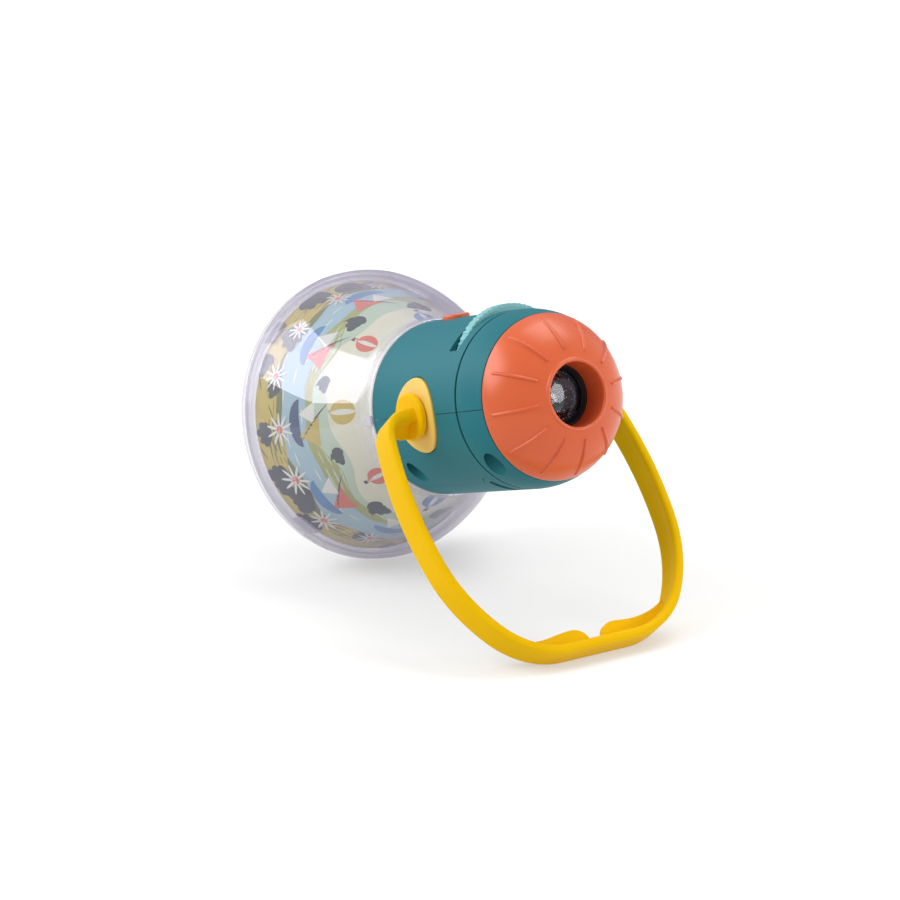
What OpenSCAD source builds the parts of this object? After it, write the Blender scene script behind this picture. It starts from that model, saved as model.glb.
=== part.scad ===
// Toy picture projector and night light with a swinging handle that is also its stand.
// Every piece is modelled about the optical axis: z runs forward along it from the neck of the bell,
// y is up and x is across. The module stand() then tilts the object on to its bell rim and handle.

/* [Body] */
// Outer radius of the round body
body_r = 32; // [31.5:0.25:35]
// Length of the body from the neck of the bell to the focus ring
body_len = 67; // [66.5:0.25:71]
// Wall of the two body shells
shell_wall = 2.6; // [2.4:0.1:3]
// Length of the rounded shoulder at the front of the body
shoulder_len = 12.1; // [11:0.1:13]
// Radius of the rounded shoulder
shoulder_r = 32.2; // [29:0.2:36]
// Width of the groove behind the shoulder
groove_w = 1.1; // [0.6:0.1:1.6]
// Depth of the groove behind the shoulder
groove_d = 0.8; // [0.4:0.1:1.2]
// Thickness of the front wall that carries the focus ring
front_wall = 2.2; // [1.6:0.1:2.6]

/* [Bell] */
// Largest radius of the bell
bell_r = 54.8; // [53:0.2:60]
// Length of the bell and its rear cover
bell_len = 60.5; // [60:0.25:70]
// Wall of the bell and its rear cover
bell_wall = 1.8; // [1.4:0.1:2.2]
// Length of the straight slope between the neck and the flare
slope_len = 16.56; // [12:0.02:20]
// Length of the straight band at the rim
band_straight = 3.13; // [2:0.01:4]
// Slope where the flare passes into the brow
brow_slope = 16; // [13:0.5:19]
// Radius of the fillet between the neck and the slope
neck_fillet_r = 10.9; // [8:0.2:12]
// Radius of the brow that turns the flare into the rim band
brow_r = 20; // [14:1:24]
// Radius of the rounded rear edge
rim_r = 7.5; // [6.5:0.25:8.5]
// Clear band between the printed sleeve and the rear edge
clear_band = 9; // [8.5:0.25:12]
// Thickness of the printed sleeve
print_t = 0.6; // [0.4:0.1:0.8]
// Bulge of the printed sleeve between its ends
print_bulge = 1.4; // [0.8:0.1:1.6]

/* [Handle] */
// Distance of the handle's pivot behind the front of the body
pivot_back = 38.9; // [37.5:0.1:40.5]
// Angle of the handle ahead of the body's own downward direction
handle_lean = 26.4; // [20:0.2:34]
// Width of the strap
strap_w = 10.8; // [10:0.1:13]
// Thickness of the strap over its lips
strap_t = 3.6; // [3.4:0.1:4.6]
// Rounding of the strap's outer edges
strap_round = 1.3; // [0.8:0.1:1.6]
// Depth of the channel on the strap's inner side
channel_d = 1.4; // [0.8:0.1:1.8]
// Width of each lip beside the channel
lip_w = 2.4; // [1.8:0.1:3]
// Radius of the bend beside each pivot
bend_r = 10.2; // [9:0.2:12]
// Radius of the long side bow
side_r = 144; // [125:1:165]
// Radius of the upper part of each corner
corner_r = 59; // [54:1:66]
// Radius of the lower part of each corner
foot_r = 30.6; // [28:0.2:34]
// Radius of the round flange on each pivot
flange_r = 8.6; // [7.5:0.1:10]
// Thickness of the round flange
flange_t = 2.2; // [1.6:0.1:3]
// Straight length between the flange and the bend
stub_len = 3.1; // [2:0.1:5]
// Radius of the pivot pin
pivot_pin_r = 4; // [3.4:0.1:4.6]
// Height of the ears beside the hanging notch
ear_h = 6.8; // [4:0.2:8]
// Width of the hanging notch
notch_w = 6; // [4:0.2:8]
// Distance of the hanging notch from the middle of the bar
notch_x = 3; // [-4:0.5:4]
// Length of the rounded end of an ear
ear_run = 6; // [4:0.5:8]
// Dip of an ear's upper edge between the notch and the corner
ear_sag = 1; // [0:0.1:1.6]

/* [Side pads] */
// Length of the oval pad along the body
pad_len = 24.4; // [22:0.2:26]
// Height of the oval pad
pad_h = 27.4; // [25:0.2:30]
// Thickness of the pad
pad_t = 1.5; // [1.2:0.1:1.8]
// Height of the pad above the body
pad_proud = 0.7; // [0.4:0.1:0.9]

/* [Focus ring] */
// Half width of the oval that the dome is part of
dome_a = 30.5; // [30:0.1:32]
// Half length of that oval along the axis
dome_b = 22.1; // [21:0.1:23.5]
// Distance of the oval's middle behind the front of the body
dome_back = 4.9; // [4:0.1:5.5]
// Rounding of the ring's rear edge
ring_edge_r = 0.6; // [0.4:0.1:0.8]
// Thickness of the dome
dome_wall = 2.2; // [1.8:0.1:2.8]
// Radius of the hole in front of the lens
hole_r = 11.15; // [10.8:0.05:11.6]
// Rounding of the lip round the hole
lip_r = 0.9; // [0.6:0.1:1.2]
// Number of raised grip ribs
rib_count = 12; // [8:1:16]
// Width of a grip rib
rib_w = 1.2; // [0.8:0.1:1.8]
// Height of a grip rib
rib_h = 0.5; // [0.3:0.1:0.8]
// Distance of the ribs' outer ends from the axis
rib_out_r = 28.2; // [27:0.1:28.6]
// Distance of the ribs' inner ends from the axis
rib_in_r = 16.4; // [15.5:0.1:18]
// Angle of the first rib from the top
rib_phase = 5; // [0:1:29]
// Turn of the ring from one end of its focus to the other
focus_turn = 100; // [80:2:110]
// Travel of the lens from one end of the focus to the other
focus_travel = 5; // [4:0.1:5.4]
// Wall of the cam sleeve inside the ring
cam_wall = 3.3; // [2.8:0.1:3.4]

/* [Lens] */
// Depth of the lens barrel behind the lip of the ring
lens_recess = 9; // [8:0.1:10]
// Length of the lens barrel
barrel_len = 19.4; // [18.8:0.1:19.6]
// Radius of the projection lens
lens_r = 9; // [8.4:0.1:9.4]
// Thickness of the projection lens at its middle
lens_t = 5.6; // [4.8:0.1:5.8]
// Thickness of the projection lens at its edge
lens_edge = 1.6; // [1.2:0.1:2]

/* [Film disc] */
// Distance of the disc's back face behind the front of the body
disc_back = 22.5; // [21.5:0.1:23.5]
// Thickness of the disc
disc_t = 4.1; // [3.6:0.1:4.4]
// Height of the disc above the body
disc_rise = 2.6; // [2:0.1:3.2]
// Distance of the picture windows from the disc's centre
picture_ring_r = 11.1; // [10.8:0.1:11.4]
// Number of pictures
pictures = 8; // [6:1:10]
// Radius of a picture window
picture_r = 3.6; // [3:0.1:3.8]
// Number of notches in the knurled rim
knurls = 64; // [48:4:80]
// Width of the slot in the body
slot_w = 5.5; // [5.2:0.1:6]
// Distance between the ends of the slot
slot_span = 48; // [46:0.5:50]

/* [Button] */
// Radius of the push button
button_r = 5; // [4.4:0.1:5.6]
// Height of the button above the body
button_rise = 1.3; // [1.1:0.1:2]
// Distance of the button from the neck of the bell
button_z = 15.8; // [15.4:0.1:16.4]
// Travel of the button
button_travel = 0.8; // [0.4:0.1:1]

/* [Batteries] */
// Diameter of an AAA cell
cell_d = 10.5; // [10:0.1:10.6]
// Length of an AAA cell with its nub
cell_len = 44.5; // [43.5:0.1:44.8]
// Length of a contact spring under load
spring_len = 3.6; // [3.2:0.1:4]
// Width of the battery door over its finger band
band_span = 40; // [39:0.5:42]
// Length of the finger band along the body
band_len = 7.9; // [7:0.1:9]
// Thickness of the battery door
door_t = 1.8; // [1.4:0.1:1.9]

/* [Screws] */
// Radius of the deep screw holes under the body
screw_hole_r = 3.6; // [3.2:0.1:3.8]
// Radius of a shell screw
screw_r = 1.5; // [1.2:0.05:1.6]
// Length of a shell screw below its head
screw_len = 14; // [12:0.5:16]
// Distance of the front screws behind the front of the body
front_screw_back = 6.1; // [5.8:0.1:6.5]
// Distance of the rear screws from the neck of the bell
rear_screw_z = 10.9; // [10:0.1:11.4]

/* [Clearances] */
// Radial clearance of turning and sliding fits
run_fit = 0.1; // [0.05:0.01:0.1]
// Gap between pieces that are seated on each other
seat_gap = 0.2; // [0.1:0.05:0.25]
// Gap between pieces that move past each other
free_gap = 0.4; // [0.3:0.05:0.5]

/* [Hidden] */
$fn = 96;
// A small overlap that makes a cut pass right through a face
cut = 0.5;
// A length longer than any piece, for cutting planes
big = 400;

// Body
in_r = body_r - shell_wall;
groove_z = body_len - shoulder_len;
shoulder_c = body_r - shoulder_r;
cavity_z = body_len - front_wall;
pivot_z = body_len - pivot_back;
seam_half = seat_gap / 2;

// Focus ring and its sleeve
ring_z = body_len + free_gap;
dome_c = body_len - dome_back;
sleeve_r = hole_r + cam_wall;
collar_r = sleeve_r + 3.7;
collar_t = 3.2;
collar_z = cavity_z - free_gap - collar_t;
lip_c_r = hole_r + lip_r;
lip_z = dome_c + (dome_b - lip_r) * sqrt(1 - pow(lip_c_r / (dome_a - lip_r), 2));
ring_front = lip_z + lip_r;

// Lens barrel and the helical cam that moves it
barrel_r = hole_r - run_fit;
barrel_front = ring_front - lens_recess;
barrel_back = barrel_front - barrel_len;
cam_pin_r = 1.2;
cam_pin_z = body_len + 3.5;
cam_pin_tip = sleeve_r - 0.5;
key_w = 3;
key_len = 2.4;
key_tip = barrel_r + 1.9;
lens_sag = (lens_t - lens_edge) / 2;
lens_ball = (pow(lens_r, 2) + pow(lens_sag, 2)) / (2 * lens_sag);
lens_bore_r = lens_r + seat_gap / 2;
lens_stop_r = lens_r - 1.2;
lens_mid = barrel_front - 6.1;
lens_stop_sag = lens_ball - sqrt(pow(lens_ball, 2) - pow(lens_stop_r, 2));
lens_stop_z = lens_mid - lens_t / 2 + lens_stop_sag - seat_gap;
retainer_in_r = lens_r - 1.6;
retainer_sag = lens_ball - sqrt(pow(lens_ball, 2) - pow(retainer_in_r, 2));
retainer_z = lens_mid + lens_t / 2 - retainer_sag + seat_gap;
retainer_front = barrel_front - 1.2;

// Film disc and its gate
disc_r = body_r + disc_rise - picture_ring_r;
disc_z = body_len - disc_back;
disc_mid = disc_z + disc_t / 2;
film_seat_r = picture_r + 0.7;
film_seat_d = 0.5;
film_t = 0.3;
detent_r = disc_r - 4.6;
detent_hole_r = 1.1;
detent_d = 0.6;
pocket_r = disc_r + seat_gap;
pocket_back = disc_z - free_gap;
pocket_front = disc_z + disc_t + free_gap;
gate_wall = 1.8;
gate_back = pocket_back - gate_wall;
gate_front = pocket_front + gate_wall;
gate_top = picture_ring_r + 3;
guide_r = hole_r + 2.1;
guide_end = collar_z - free_gap;
aperture_r = picture_r + 0.8;

// Cells, tray and battery door
cell_r = cell_d / 2;
cell_ring = in_r - 1.25 - cell_r;
cell_step = 2 * asin((cell_d + 0.5) / 2 / cell_ring);
cell_side_x = cell_ring * sin(cell_step);
cell_side_y = -cell_ring * cos(cell_step);
tray_wall = 1.2;
tray_roof_t = 1;
tray_roof = cell_side_y + cell_r + seat_gap;
tray_top = tray_roof + tray_roof_t;
tray_x = cell_side_x + cell_r + 0.6;
contact_t = 0.5;
tray_len = cell_len + contact_t + spring_len + seat_gap;
// The cells lie as far forward as the lens guide allows, but no further from the bell than this
rear_room = 11;
tray_front = min(guide_end - tray_wall, rear_room + tray_len);
tray_back = tray_front - tray_len;
lead_r = 0.6;
lead_x = cell_side_x + cell_r - 1;
lead_y = tray_top + lead_r + seat_gap;
door_hole_x = cell_side_x + cell_r + 0.2;
door_x = door_hole_x + 1;
door_margin = 2;
door_front = groove_z - groove_w - door_margin;
door_back = 3.2;
door_ledge = 1.2;
door_in_r = body_r - door_t;
door_screw_r = 1;
door_head_r = 2;
door_head_t = 1.2;
door_boss_r = 2.3;
door_screw_z = door_back + 2.6;
// A long screw where the tray leaves room in front of it, or else one that ends below the middle cell
door_screw_long = 7.5;
door_screw_len = tray_back - tray_wall > door_screw_z + door_screw_r ? door_screw_long
    : body_r - cell_ring - cell_r - seat_gap;

// Circuit board and switch
switch_side = 6;
switch_h = 3.6;
plunger_r = 1.7;
plunger_h = 1.2;
board_t = 1.6;
board_z = button_z + switch_side / 2;
board_r = in_r - 5.4;
board_bottom = tray_top + seat_gap;
button_flange_r = button_r + 1.5;
button_flange_t = 1.4;
button_flange_y = sqrt(pow(in_r, 2) - pow(button_flange_r, 2)) - free_gap - button_flange_t;
button_stem_r = 2;
button_stem_len = 2;
plunger_top = button_flange_y - button_stem_len - seat_gap / 2;
switch_top = plunger_top - plunger_h;
led_r = 2.5;
led_rim_r = 2.9;
led_rim_t = 1;
led_len = 8.6;

// Lamp tube and condenser
tube_r = 11.5;
tube_in_r = 10.1;
tube_step_r = 8.8;
tube_step_t = 1.4;
tube_back = board_z + board_t + seat_gap / 2;
tube_front = gate_back - seat_gap / 2;
condenser_r = tube_in_r - seat_gap / 2;
condenser_edge = 1.5;
condenser_t = 5;
condenser_sag = condenser_t - condenser_edge;
condenser_ball = (pow(condenser_r, 2) + pow(condenser_sag, 2)) / (2 * condenser_sag);
condenser_z = tube_front - condenser_t - 2 * free_gap;

// Screw columns
screw_x = body_r - 8.4;
column_r = screw_hole_r + 1.4;
upper_column_r = 3.6;
screw_head_r = screw_hole_r - 0.8;
screw_head_t = 2.2;
screw_seat_y = -6;
screw_places = [
    for (side = [-1, 1], z = [rear_screw_z, body_len - front_screw_back]) [side * screw_x, z]
];

// Pivot stack, from the middle of the body outwards
pivot_boss_r = pivot_pin_r + 4;
pivot_boss_x = in_r - 1.2;
friction_t = 0.9;
pin_head_r = pivot_pin_r + 2;
pin_head_t = 1.8;
pin_head_x = pivot_boss_x - friction_t - seat_gap;
pad_r = body_r + pad_proud;
flange_x = pad_r + 0.3;
bend_x = flange_x + flange_t + stub_len;

// Bell, from the neck to the rear edge, as headings from the axis
neck_r = body_r + 0.5;
neck_len = 1.6;
spigot_len = 2.6;
spigot_r = in_r - seat_gap;
spigot_wall = 1.7;
bead_r = spigot_r + 1.3;
bead_back = 1.1;
bead_front = 2.3;
ledge_t = 1;
ledge_in_r = spigot_r - spigot_wall - 1.8;
band_z = bell_len - rim_r;
// The flare's radius and the slope follow from the rise and the run that the other lines leave
bell_rise = bell_r - neck_r - brow_r * (1 - cos(brow_slope)) - neck_fillet_r;
bell_run = band_z - band_straight - neck_len - brow_r * sin(brow_slope);
flare_r = (pow(slope_len, 2) + pow(neck_fillet_r, 2) - pow(bell_rise, 2) - pow(bell_run, 2))
    / (2 * (bell_run * sin(brow_slope) - bell_rise * cos(brow_slope) - neck_fillet_r));
bell_slope = atan2(bell_rise - flare_r * cos(brow_slope), bell_run + flare_r * sin(brow_slope))
    + atan2(neck_fillet_r + flare_r, slope_len);
bell_path = [
    [0, neck_len], [neck_fillet_r, bell_slope], [0, slope_len],
    [flare_r, brow_slope - bell_slope], [brow_r, -brow_slope], [0, band_straight]
];
cover_lap = 3.6;
tab_count = 4;
tab_w = 9;
tab_len = 3;

// Printed sleeve
print_back = bell_len - clear_band;
print_back_r = bell_r - bell_wall - 2.3;
print_front = neck_len + neck_fillet_r * sin(bell_slope);
print_front_r = neck_r + neck_fillet_r * (1 - cos(bell_slope)) - bell_wall / cos(bell_slope) - seat_gap;

// Handle, as turns along its midline from the pivot to the middle of the bar
bend_turn = 77.3;
side_turn = 20;
corner_turn = 31.4;
foot_turn = 180 - bend_turn - side_turn - corner_turn;
handle_arcs = [
    [bend_r, bend_turn], [side_r, side_turn], [corner_r, corner_turn], [foot_r, foot_turn]
];
bar_h = arcs_end([bend_x, 0], 0, handle_arcs)[1];
bar_half = arcs_end([bend_x, 0], 0, handle_arcs)[0];

// The stand: both feet touch the ground, each as a round edge of its own radius
foot_h = bar_h + strap_t / 2 - strap_round;
foot_w = strap_w / 2 - strap_round;
foot_y = -foot_h * cos(handle_lean) - foot_w * sin(handle_lean);
foot_z = pivot_z + foot_h * sin(handle_lean) - foot_w * cos(handle_lean);
rim_c_r = bell_r - rim_r;
rise_y = foot_y + rim_c_r;
rise_z = foot_z + band_z;
tilt = asin((strap_round - rim_r) / norm([rise_y, rise_z])) - atan2(rise_y, rise_z);
lift = rim_c_r * cos(tilt) + band_z * sin(tilt) + rim_r;
rear_y = band_z * cos(tilt) + rim_c_r * sin(tilt) + rim_r;
front_y = -pivot_z * cos(tilt) - foot_h * sin(handle_lean + tilt)
    - foot_w * cos(handle_lean + tilt) - strap_round;
stand_y = -(rear_y + front_y) / 2;

// End of a chain of left-hand arcs, each a radius and a turn, from a point and a heading
function arc_step(p, heading, arc) = [
    p[0] + arc[0] * (sin(heading + arc[1]) - sin(heading)),
    p[1] + arc[0] * (cos(heading) - cos(heading + arc[1]))
];
function arcs_end(p, heading, arcs, i = 0) =
    i == len(arcs) ? p : arcs_end(arc_step(p, heading, arcs[i]), heading + arcs[i][1], arcs, i + 1);

// Points along a path of straight runs, as zero and a length, and arcs, as a radius and a turn.
// The path may lie a given distance inside the drawn one, with the same centres.
function leg_points(p, heading, leg, inside, steps) =
    leg[0] == 0
        ? [[p[0] + leg[1] * sin(heading), p[1] - leg[1] * cos(heading)]]
        : [for (i = [1 : steps])
            let (turn = leg[1] * i / steps, r = (leg[0] + sign(leg[1]) * inside) * sign(leg[1]))
            [p[0] + r * (cos(heading) - cos(heading + turn)),
             p[1] - r * (sin(heading + turn) - sin(heading))]];
function path_points(p, heading, legs, inside = 0, i = 0, steps = 8) =
    i == len(legs) ? [p] :
    let (run = leg_points(p, heading, legs[i], inside, steps))
    concat([p], [for (k = [0 : 1 : len(run) - 2]) run[k]],
        path_points(run[len(run) - 1], heading + (legs[i][0] == 0 ? 0 : legs[i][1]), legs, inside, i + 1, steps));
function reversed(list) = [for (i = [len(list) - 1 : -1 : 0]) list[i]];

module stand() {
    translate([0, stand_y, lift])
        rotate([90 - tilt, 0, 0])
            children();
}

// A ring or disc about the axis, from one radius and height to another
module ring(r0, r1, z0, z1) {
    rotate_extrude()
        translate([r0, z0])
            square([r1 - r0, z1 - z0]);
}

// A round bar along z, x or y
module bar_z(r, z0, z1) {
    translate([0, 0, z0])
        cylinder(r = r, h = z1 - z0);
}
module bar_x(r, x0, x1) {
    translate([x0, 0, 0])
        rotate([0, 90, 0])
            cylinder(r = r, h = x1 - x0);
}
module bar_y(r, y0, y1) {
    translate([0, y1, 0])
        rotate([90, 0, 0])
            cylinder(r = r, h = y1 - y0);
}
module box(x0, x1, y0, y1, z0, z1) {
    translate([x0, y0, z0])
        cube([x1 - x0, y1 - y0, z1 - z0]);
}

// A bar with round ends, centred, from its full length and end radius
module stadium(length, r) {
    square([length - 2 * r, 2 * r], center = true);
    for (side = [-1, 1])
        translate([side * (length / 2 - r), 0])
            circle(r = r);
}

// Bell, sleeve and cover

module bell_shade() {
    outer = path_points([neck_r, -seat_gap / 2], 0, bell_path);
    inner = path_points([neck_r - bell_wall, -seat_gap / 2], 0, bell_path, bell_wall);
    color([0.86, 0.84, 0.93, 0.35]) stand() {
        rotate_extrude()
            polygon(concat(outer, reversed(inner)));
        ring(ledge_in_r, neck_r - bell_wall + cut, -seat_gap / 2 - ledge_t, -seat_gap / 2);
        ring(spigot_r - spigot_wall, spigot_r, -seat_gap / 2 - ledge_t, spigot_len);
        ring(spigot_r - cut, bead_r, bead_back, bead_front);
    }
}

// Sleeve of printed sheet, bulged a little to follow the bell
module picture_sleeve() {
    function print_r(t) = print_front_r + (print_back_r - print_front_r) * t + print_bulge * 4 * t * (1 - t);
    function print_z(t) = -print_front - (print_back - print_front) * t;
    steps = 16;
    face = [for (i = [0 : steps]) [print_r(i / steps), print_z(i / steps)]];
    back = [for (p = face) [p[0] - print_t, p[1]]];
    color([0.84, 0.86, 0.62]) stand()
        rotate_extrude()
            polygon(concat(face, reversed(back)));
}

// Dished cover with a rolled edge, a lap inside the bell and snap tabs
module rear_cover() {
    joint_z = -band_z - seat_gap;
    lap_r = bell_r - bell_wall - seat_gap;
    color([0.88, 0.87, 0.94, 0.4]) stand() {
        rotate_extrude() {
            translate([0, -bell_len])
                square([rim_c_r, bell_wall]);
            intersection() {
                translate([rim_c_r, -band_z])
                    difference() {
                        circle(r = rim_r);
                        circle(r = rim_r - bell_wall);
                    }
                translate([rim_c_r, -bell_len - cut])
                    square([rim_r + cut, joint_z + bell_len + cut]);
            }
            translate([lap_r - bell_wall, -band_z - bell_wall])
                square([bell_wall, cover_lap]);
        }
        for (i = [0 : tab_count - 1])
            rotate([0, 0, 45 + i * 360 / tab_count])
                box(lap_r - bell_wall, lap_r - bell_wall / 2, -tab_w / 2, tab_w / 2,
                    -band_z - bell_wall, -band_z + cover_lap - bell_wall + tab_len);
    }
}

// Frosted dome over the neck, lit from behind by the night light
module light_diffuser() {
    flange_out_r = spigot_r - spigot_wall - seat_gap;
    ball = flange_out_r * 0.806;
    ball_z = ball * 0.545;
    skin = bell_wall * 0.78;
    flange_in_r = ball * 0.82;
    color([0.97, 0.97, 0.95, 0.8]) stand()
        rotate_extrude() {
            translate([flange_in_r, seat_gap / 2])
                square([flange_out_r - flange_in_r, skin]);
            intersection() {
                translate([0, ball_z])
                    difference() {
                        circle(r = ball);
                        circle(r = ball - skin);
                    }
                translate([0, ball_z - ball - cut])
                    square([ball, ball - ball_z + cut + skin]);
            }
        }
}

// Body shells

// Outer form of the body as one turned solid
module body_form() {
    rotate_extrude() {
        difference() {
            square([body_r, groove_z + cut]);
            translate([body_r - groove_d, groove_z - groove_w])
                square([groove_d + cut, groove_w]);
        }
        intersection() {
            translate([0, groove_z])
                square([body_r, shoulder_len]);
            translate([shoulder_c, groove_z])
                circle(r = shoulder_r, $fn = 180);
            square([body_r, body_len]);
        }
    }
}

// Inside of the body, with the seat of the bell and the mouth for the focus ring
module body_cavity() {
    rotate_extrude() {
        translate([0, -cut])
            square([in_r, groove_z + cut]);
        translate([0, groove_z - cut])
            intersection() {
                square([in_r, cavity_z - groove_z + cut]);
                translate([shoulder_c, cut])
                    circle(r = shoulder_r - shell_wall, $fn = 180);
            }
        translate([0, cavity_z - cut])
            square([sleeve_r + run_fit, front_wall + 2 * cut]);
        translate([0, bead_back - seat_gap / 2])
            square([bead_r + run_fit, bead_front - bead_back + seat_gap]);
    }
}

// Oval outline of a side pad, grown by a margin
module pad_outline(margin) {
    steps = 48;
    polygon([for (i = [0 : steps - 1])
        [(pad_len / 2 + margin) * cos(360 * i / steps), (pad_h / 2 + margin) * sin(360 * i / steps)]]);
}

// The oval carried out sideways through the body's skin, on one side
module pad_prism(side, margin) {
    translate([0, 0, pivot_z])
        rotate([0, side * 90, 0])
            linear_extrude(height = body_r + 2 * cut)
                pad_outline(margin);
}

// Shell blank with the cuts that both halves share
module shell_blank() {
    difference() {
        union() {
            difference() {
                body_form();
                body_cavity();
            }
            for (side = [-1, 1])
                translate([0, 0, pivot_z])
                    bar_x(pivot_boss_r, side < 0 ? -in_r - cut : pivot_boss_x, side < 0 ? -pivot_boss_x : in_r + cut);
        }
        translate([0, 0, pivot_z])
            bar_x(pivot_pin_r + run_fit, -body_r - cut, body_r + cut);
        for (side = [-1, 1])
            intersection() {
                pad_prism(side, seat_gap / 2);
                ring(pad_r - pad_t - seat_gap / 2, body_r + 1, 0, body_len);
            }
    }
}

module upper_shell() {
    color([0.22, 0.48, 0.50]) stand()
        difference() {
            union() {
                intersection() {
                    shell_blank();
                    box(-body_r, body_r, seam_half, body_r, 0, body_len);
                }
                intersection() {
                    for (p = screw_places)
                        translate([p[0], 0, p[1]])
                            bar_y(upper_column_r, seam_half, body_r);
                    body_form();
                }
            }
            for (p = screw_places)
                translate([p[0], 0, p[1]])
                    bar_y(screw_r + run_fit / 2, 0, screw_seat_y + screw_len + 1);
            box(-slot_span / 2, slot_span / 2, picture_ring_r, body_r + cut,
                disc_mid - slot_w / 2, disc_mid + slot_w / 2);
            translate([0, 0, button_z])
                bar_y(button_r + run_fit, in_r / 2, body_r + cut);
        }
}

// Outline of the battery door seen from below, grown by a margin
module door_outline(margin) {
    translate([-door_x - margin, door_back - margin])
        square([2 * (door_x + margin), door_front - band_len / 2 - door_back + margin]);
    translate([0, door_front - band_len / 2])
        stadium(band_span + 2 * margin, band_len / 2 + margin);
}

// A plan outline carried down through the underside of the body
module below() {
    rotate([90, 0, 0])
        linear_extrude(height = body_r + cut)
            children();
}

module lower_shell() {
    color([0.21, 0.46, 0.48]) stand()
        difference() {
            union() {
                intersection() {
                    shell_blank();
                    box(-body_r, body_r, -body_r, -seam_half, 0, body_len);
                }
                intersection() {
                    union() {
                        for (p = screw_places)
                            translate([p[0], 0, p[1]])
                                bar_y(column_r, -body_r, -seam_half);
                        battery_tray();
                        translate([0, 0, door_screw_z])
                            bar_y(door_boss_r, -body_r, -in_r + door_screw_len + 1);
                    }
                    union() {
                        body_cavity_fill();
                        bar_z(in_r + cut, door_back, groove_z);
                    }
                }
            }
            for (p = screw_places)
                translate([p[0], 0, p[1]]) {
                    bar_y(screw_hole_r, -body_r - cut, screw_seat_y);
                    bar_y(screw_r + seat_gap, screw_seat_y - cut, 0);
                }
            intersection() {
                below()
                    door_outline(seat_gap);
                ring(door_in_r - seat_gap / 2, body_r + 1, 0, body_len);
            }
            below()
                translate([-door_hole_x, tray_back])
                    square([2 * door_hole_x, door_front - door_ledge - tray_back]);
            translate([0, 0, door_screw_z])
                bar_y(door_screw_r + run_fit / 2, -body_r, -in_r + door_screw_len);
            bar_z(guide_r + seat_gap, gate_front - seat_gap, guide_end + seat_gap);
            for (side = [-1, 1])
                translate([side * lead_x, 0, lead_z(side)])
                    bar_y(lead_r + seat_gap, tray_roof - cut, tray_top + cut);
        }
}
function lead_z(side) = side > 0 ? tray_front - contact_t - lead_r / 2 - 0.1 : tray_back + lead_r + 0.3;

// Room inside the shell that columns and the tray may fill, up to the shell's own wall
module body_cavity_fill() {
    rotate_extrude() {
        translate([0, spigot_len + seat_gap])
            square([in_r + cut, groove_z - spigot_len - seat_gap]);
        intersection() {
            translate([0, groove_z - cut])
                square([body_r, shoulder_len + cut]);
            translate([shoulder_c, groove_z])
                circle(r = shoulder_r - shell_wall + cut, $fn = 180);
        }
    }
}

// Roof, sides and ends of the battery compartment
module battery_tray() {
    z0 = tray_back - tray_wall;
    z1 = tray_front + tray_wall;
    box(-tray_x - tray_wall, tray_x + tray_wall, tray_roof, tray_top, z0, z1);
    for (side = [-1, 1])
        box(side < 0 ? -tray_x - tray_wall : tray_x, side < 0 ? -tray_x : tray_x + tray_wall,
            -body_r, tray_top, z0, z1);
    box(-tray_x - tray_wall, tray_x + tray_wall, -body_r, tray_top, z0, tray_back);
    box(-tray_x - tray_wall, tray_x + tray_wall, -body_r, tray_top, tray_front, z1);
}

module side_pad(side) {
    color([0.92, 0.76, 0.38]) stand()
        difference() {
            intersection() {
                pad_prism(side, 0);
                ring(pad_r - pad_t, pad_r, 0, body_len);
            }
            translate([0, 0, pivot_z])
                bar_x(pivot_pin_r + 2 * run_fit, -body_r - 2, body_r + 2);
        }
}
module left_pad() {
    side_pad(-1);
}
module right_pad() {
    side_pad(1);
}

// Handle

// Points of a round corner
function corner_points(c, r, from, steps = 4) =
    [for (i = [0 : steps]) c + r * [cos(from + 90 * i / steps), sin(from + 90 * i / steps)]];

// Section of the strap: x away from the loop's middle, y towards the bell
function strap_section() =
    let (x = strap_t / 2, y = strap_w / 2, r = strap_round, q = lip_w * 0.4, land = y - lip_w, floor_y = land - 0.6)
    concat(
        corner_points([x - r, r - y], r, -90), corner_points([x - r, y - r], r, 0),
        corner_points([q - x, y - q], q, 90),
        [[-x, land], [channel_d - x, floor_y], [channel_d - x, -floor_y], [-x, -land]],
        corner_points([q - x, q - y], q, 180));

// Stations along one side of the loop: a point and the outward direction, from the flange to the bar
function strap_stations(p, heading, i = 0) =
    i == len(handle_arcs) ? [] :
    let (arc = handle_arcs[i], steps = max(4, round(arc[1] / 8)))
    concat(
        [for (k = [i == 0 ? 0 : 1 : steps])
            let (turn = arc[1] * k / steps, at = arc_step(p, heading, [arc[0], turn]))
            [at[0], at[1], sin(heading + turn), -cos(heading + turn)]],
        strap_stations(arc_step(p, heading, arc), heading + arc[1], i + 1));

// The strap as one sweep from flange to flange
module strap() {
    section = strap_section();
    n = len(section);
    side = concat([[flange_x + flange_t - cut, 0, 0, -1]], strap_stations([bend_x, 0], 0));
    line = concat(side, [for (s = reversed(side)) [-s[0], s[1], -s[2], s[3]]]);
    last = n * (len(line) - 1);
    points = [for (s = line, q = section) [s[0] + q[0] * s[2], s[1] + q[0] * s[3], q[1]]];
    quads = [for (i = [0 : len(line) - 2], k = [0 : n - 1])
        let (a = n * i + k, b = n * i + (k + 1) % n)
        [a, b, b + n, a + n]];
    polyhedron(points, concat(
        [for (f = quads) [f[0], f[1], f[2]]], [for (f = quads) [f[0], f[2], f[3]]],
        [[for (k = [n - 1 : -1 : 0]) k]], [[for (k = [0 : n - 1]) last + k]]));
}

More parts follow.
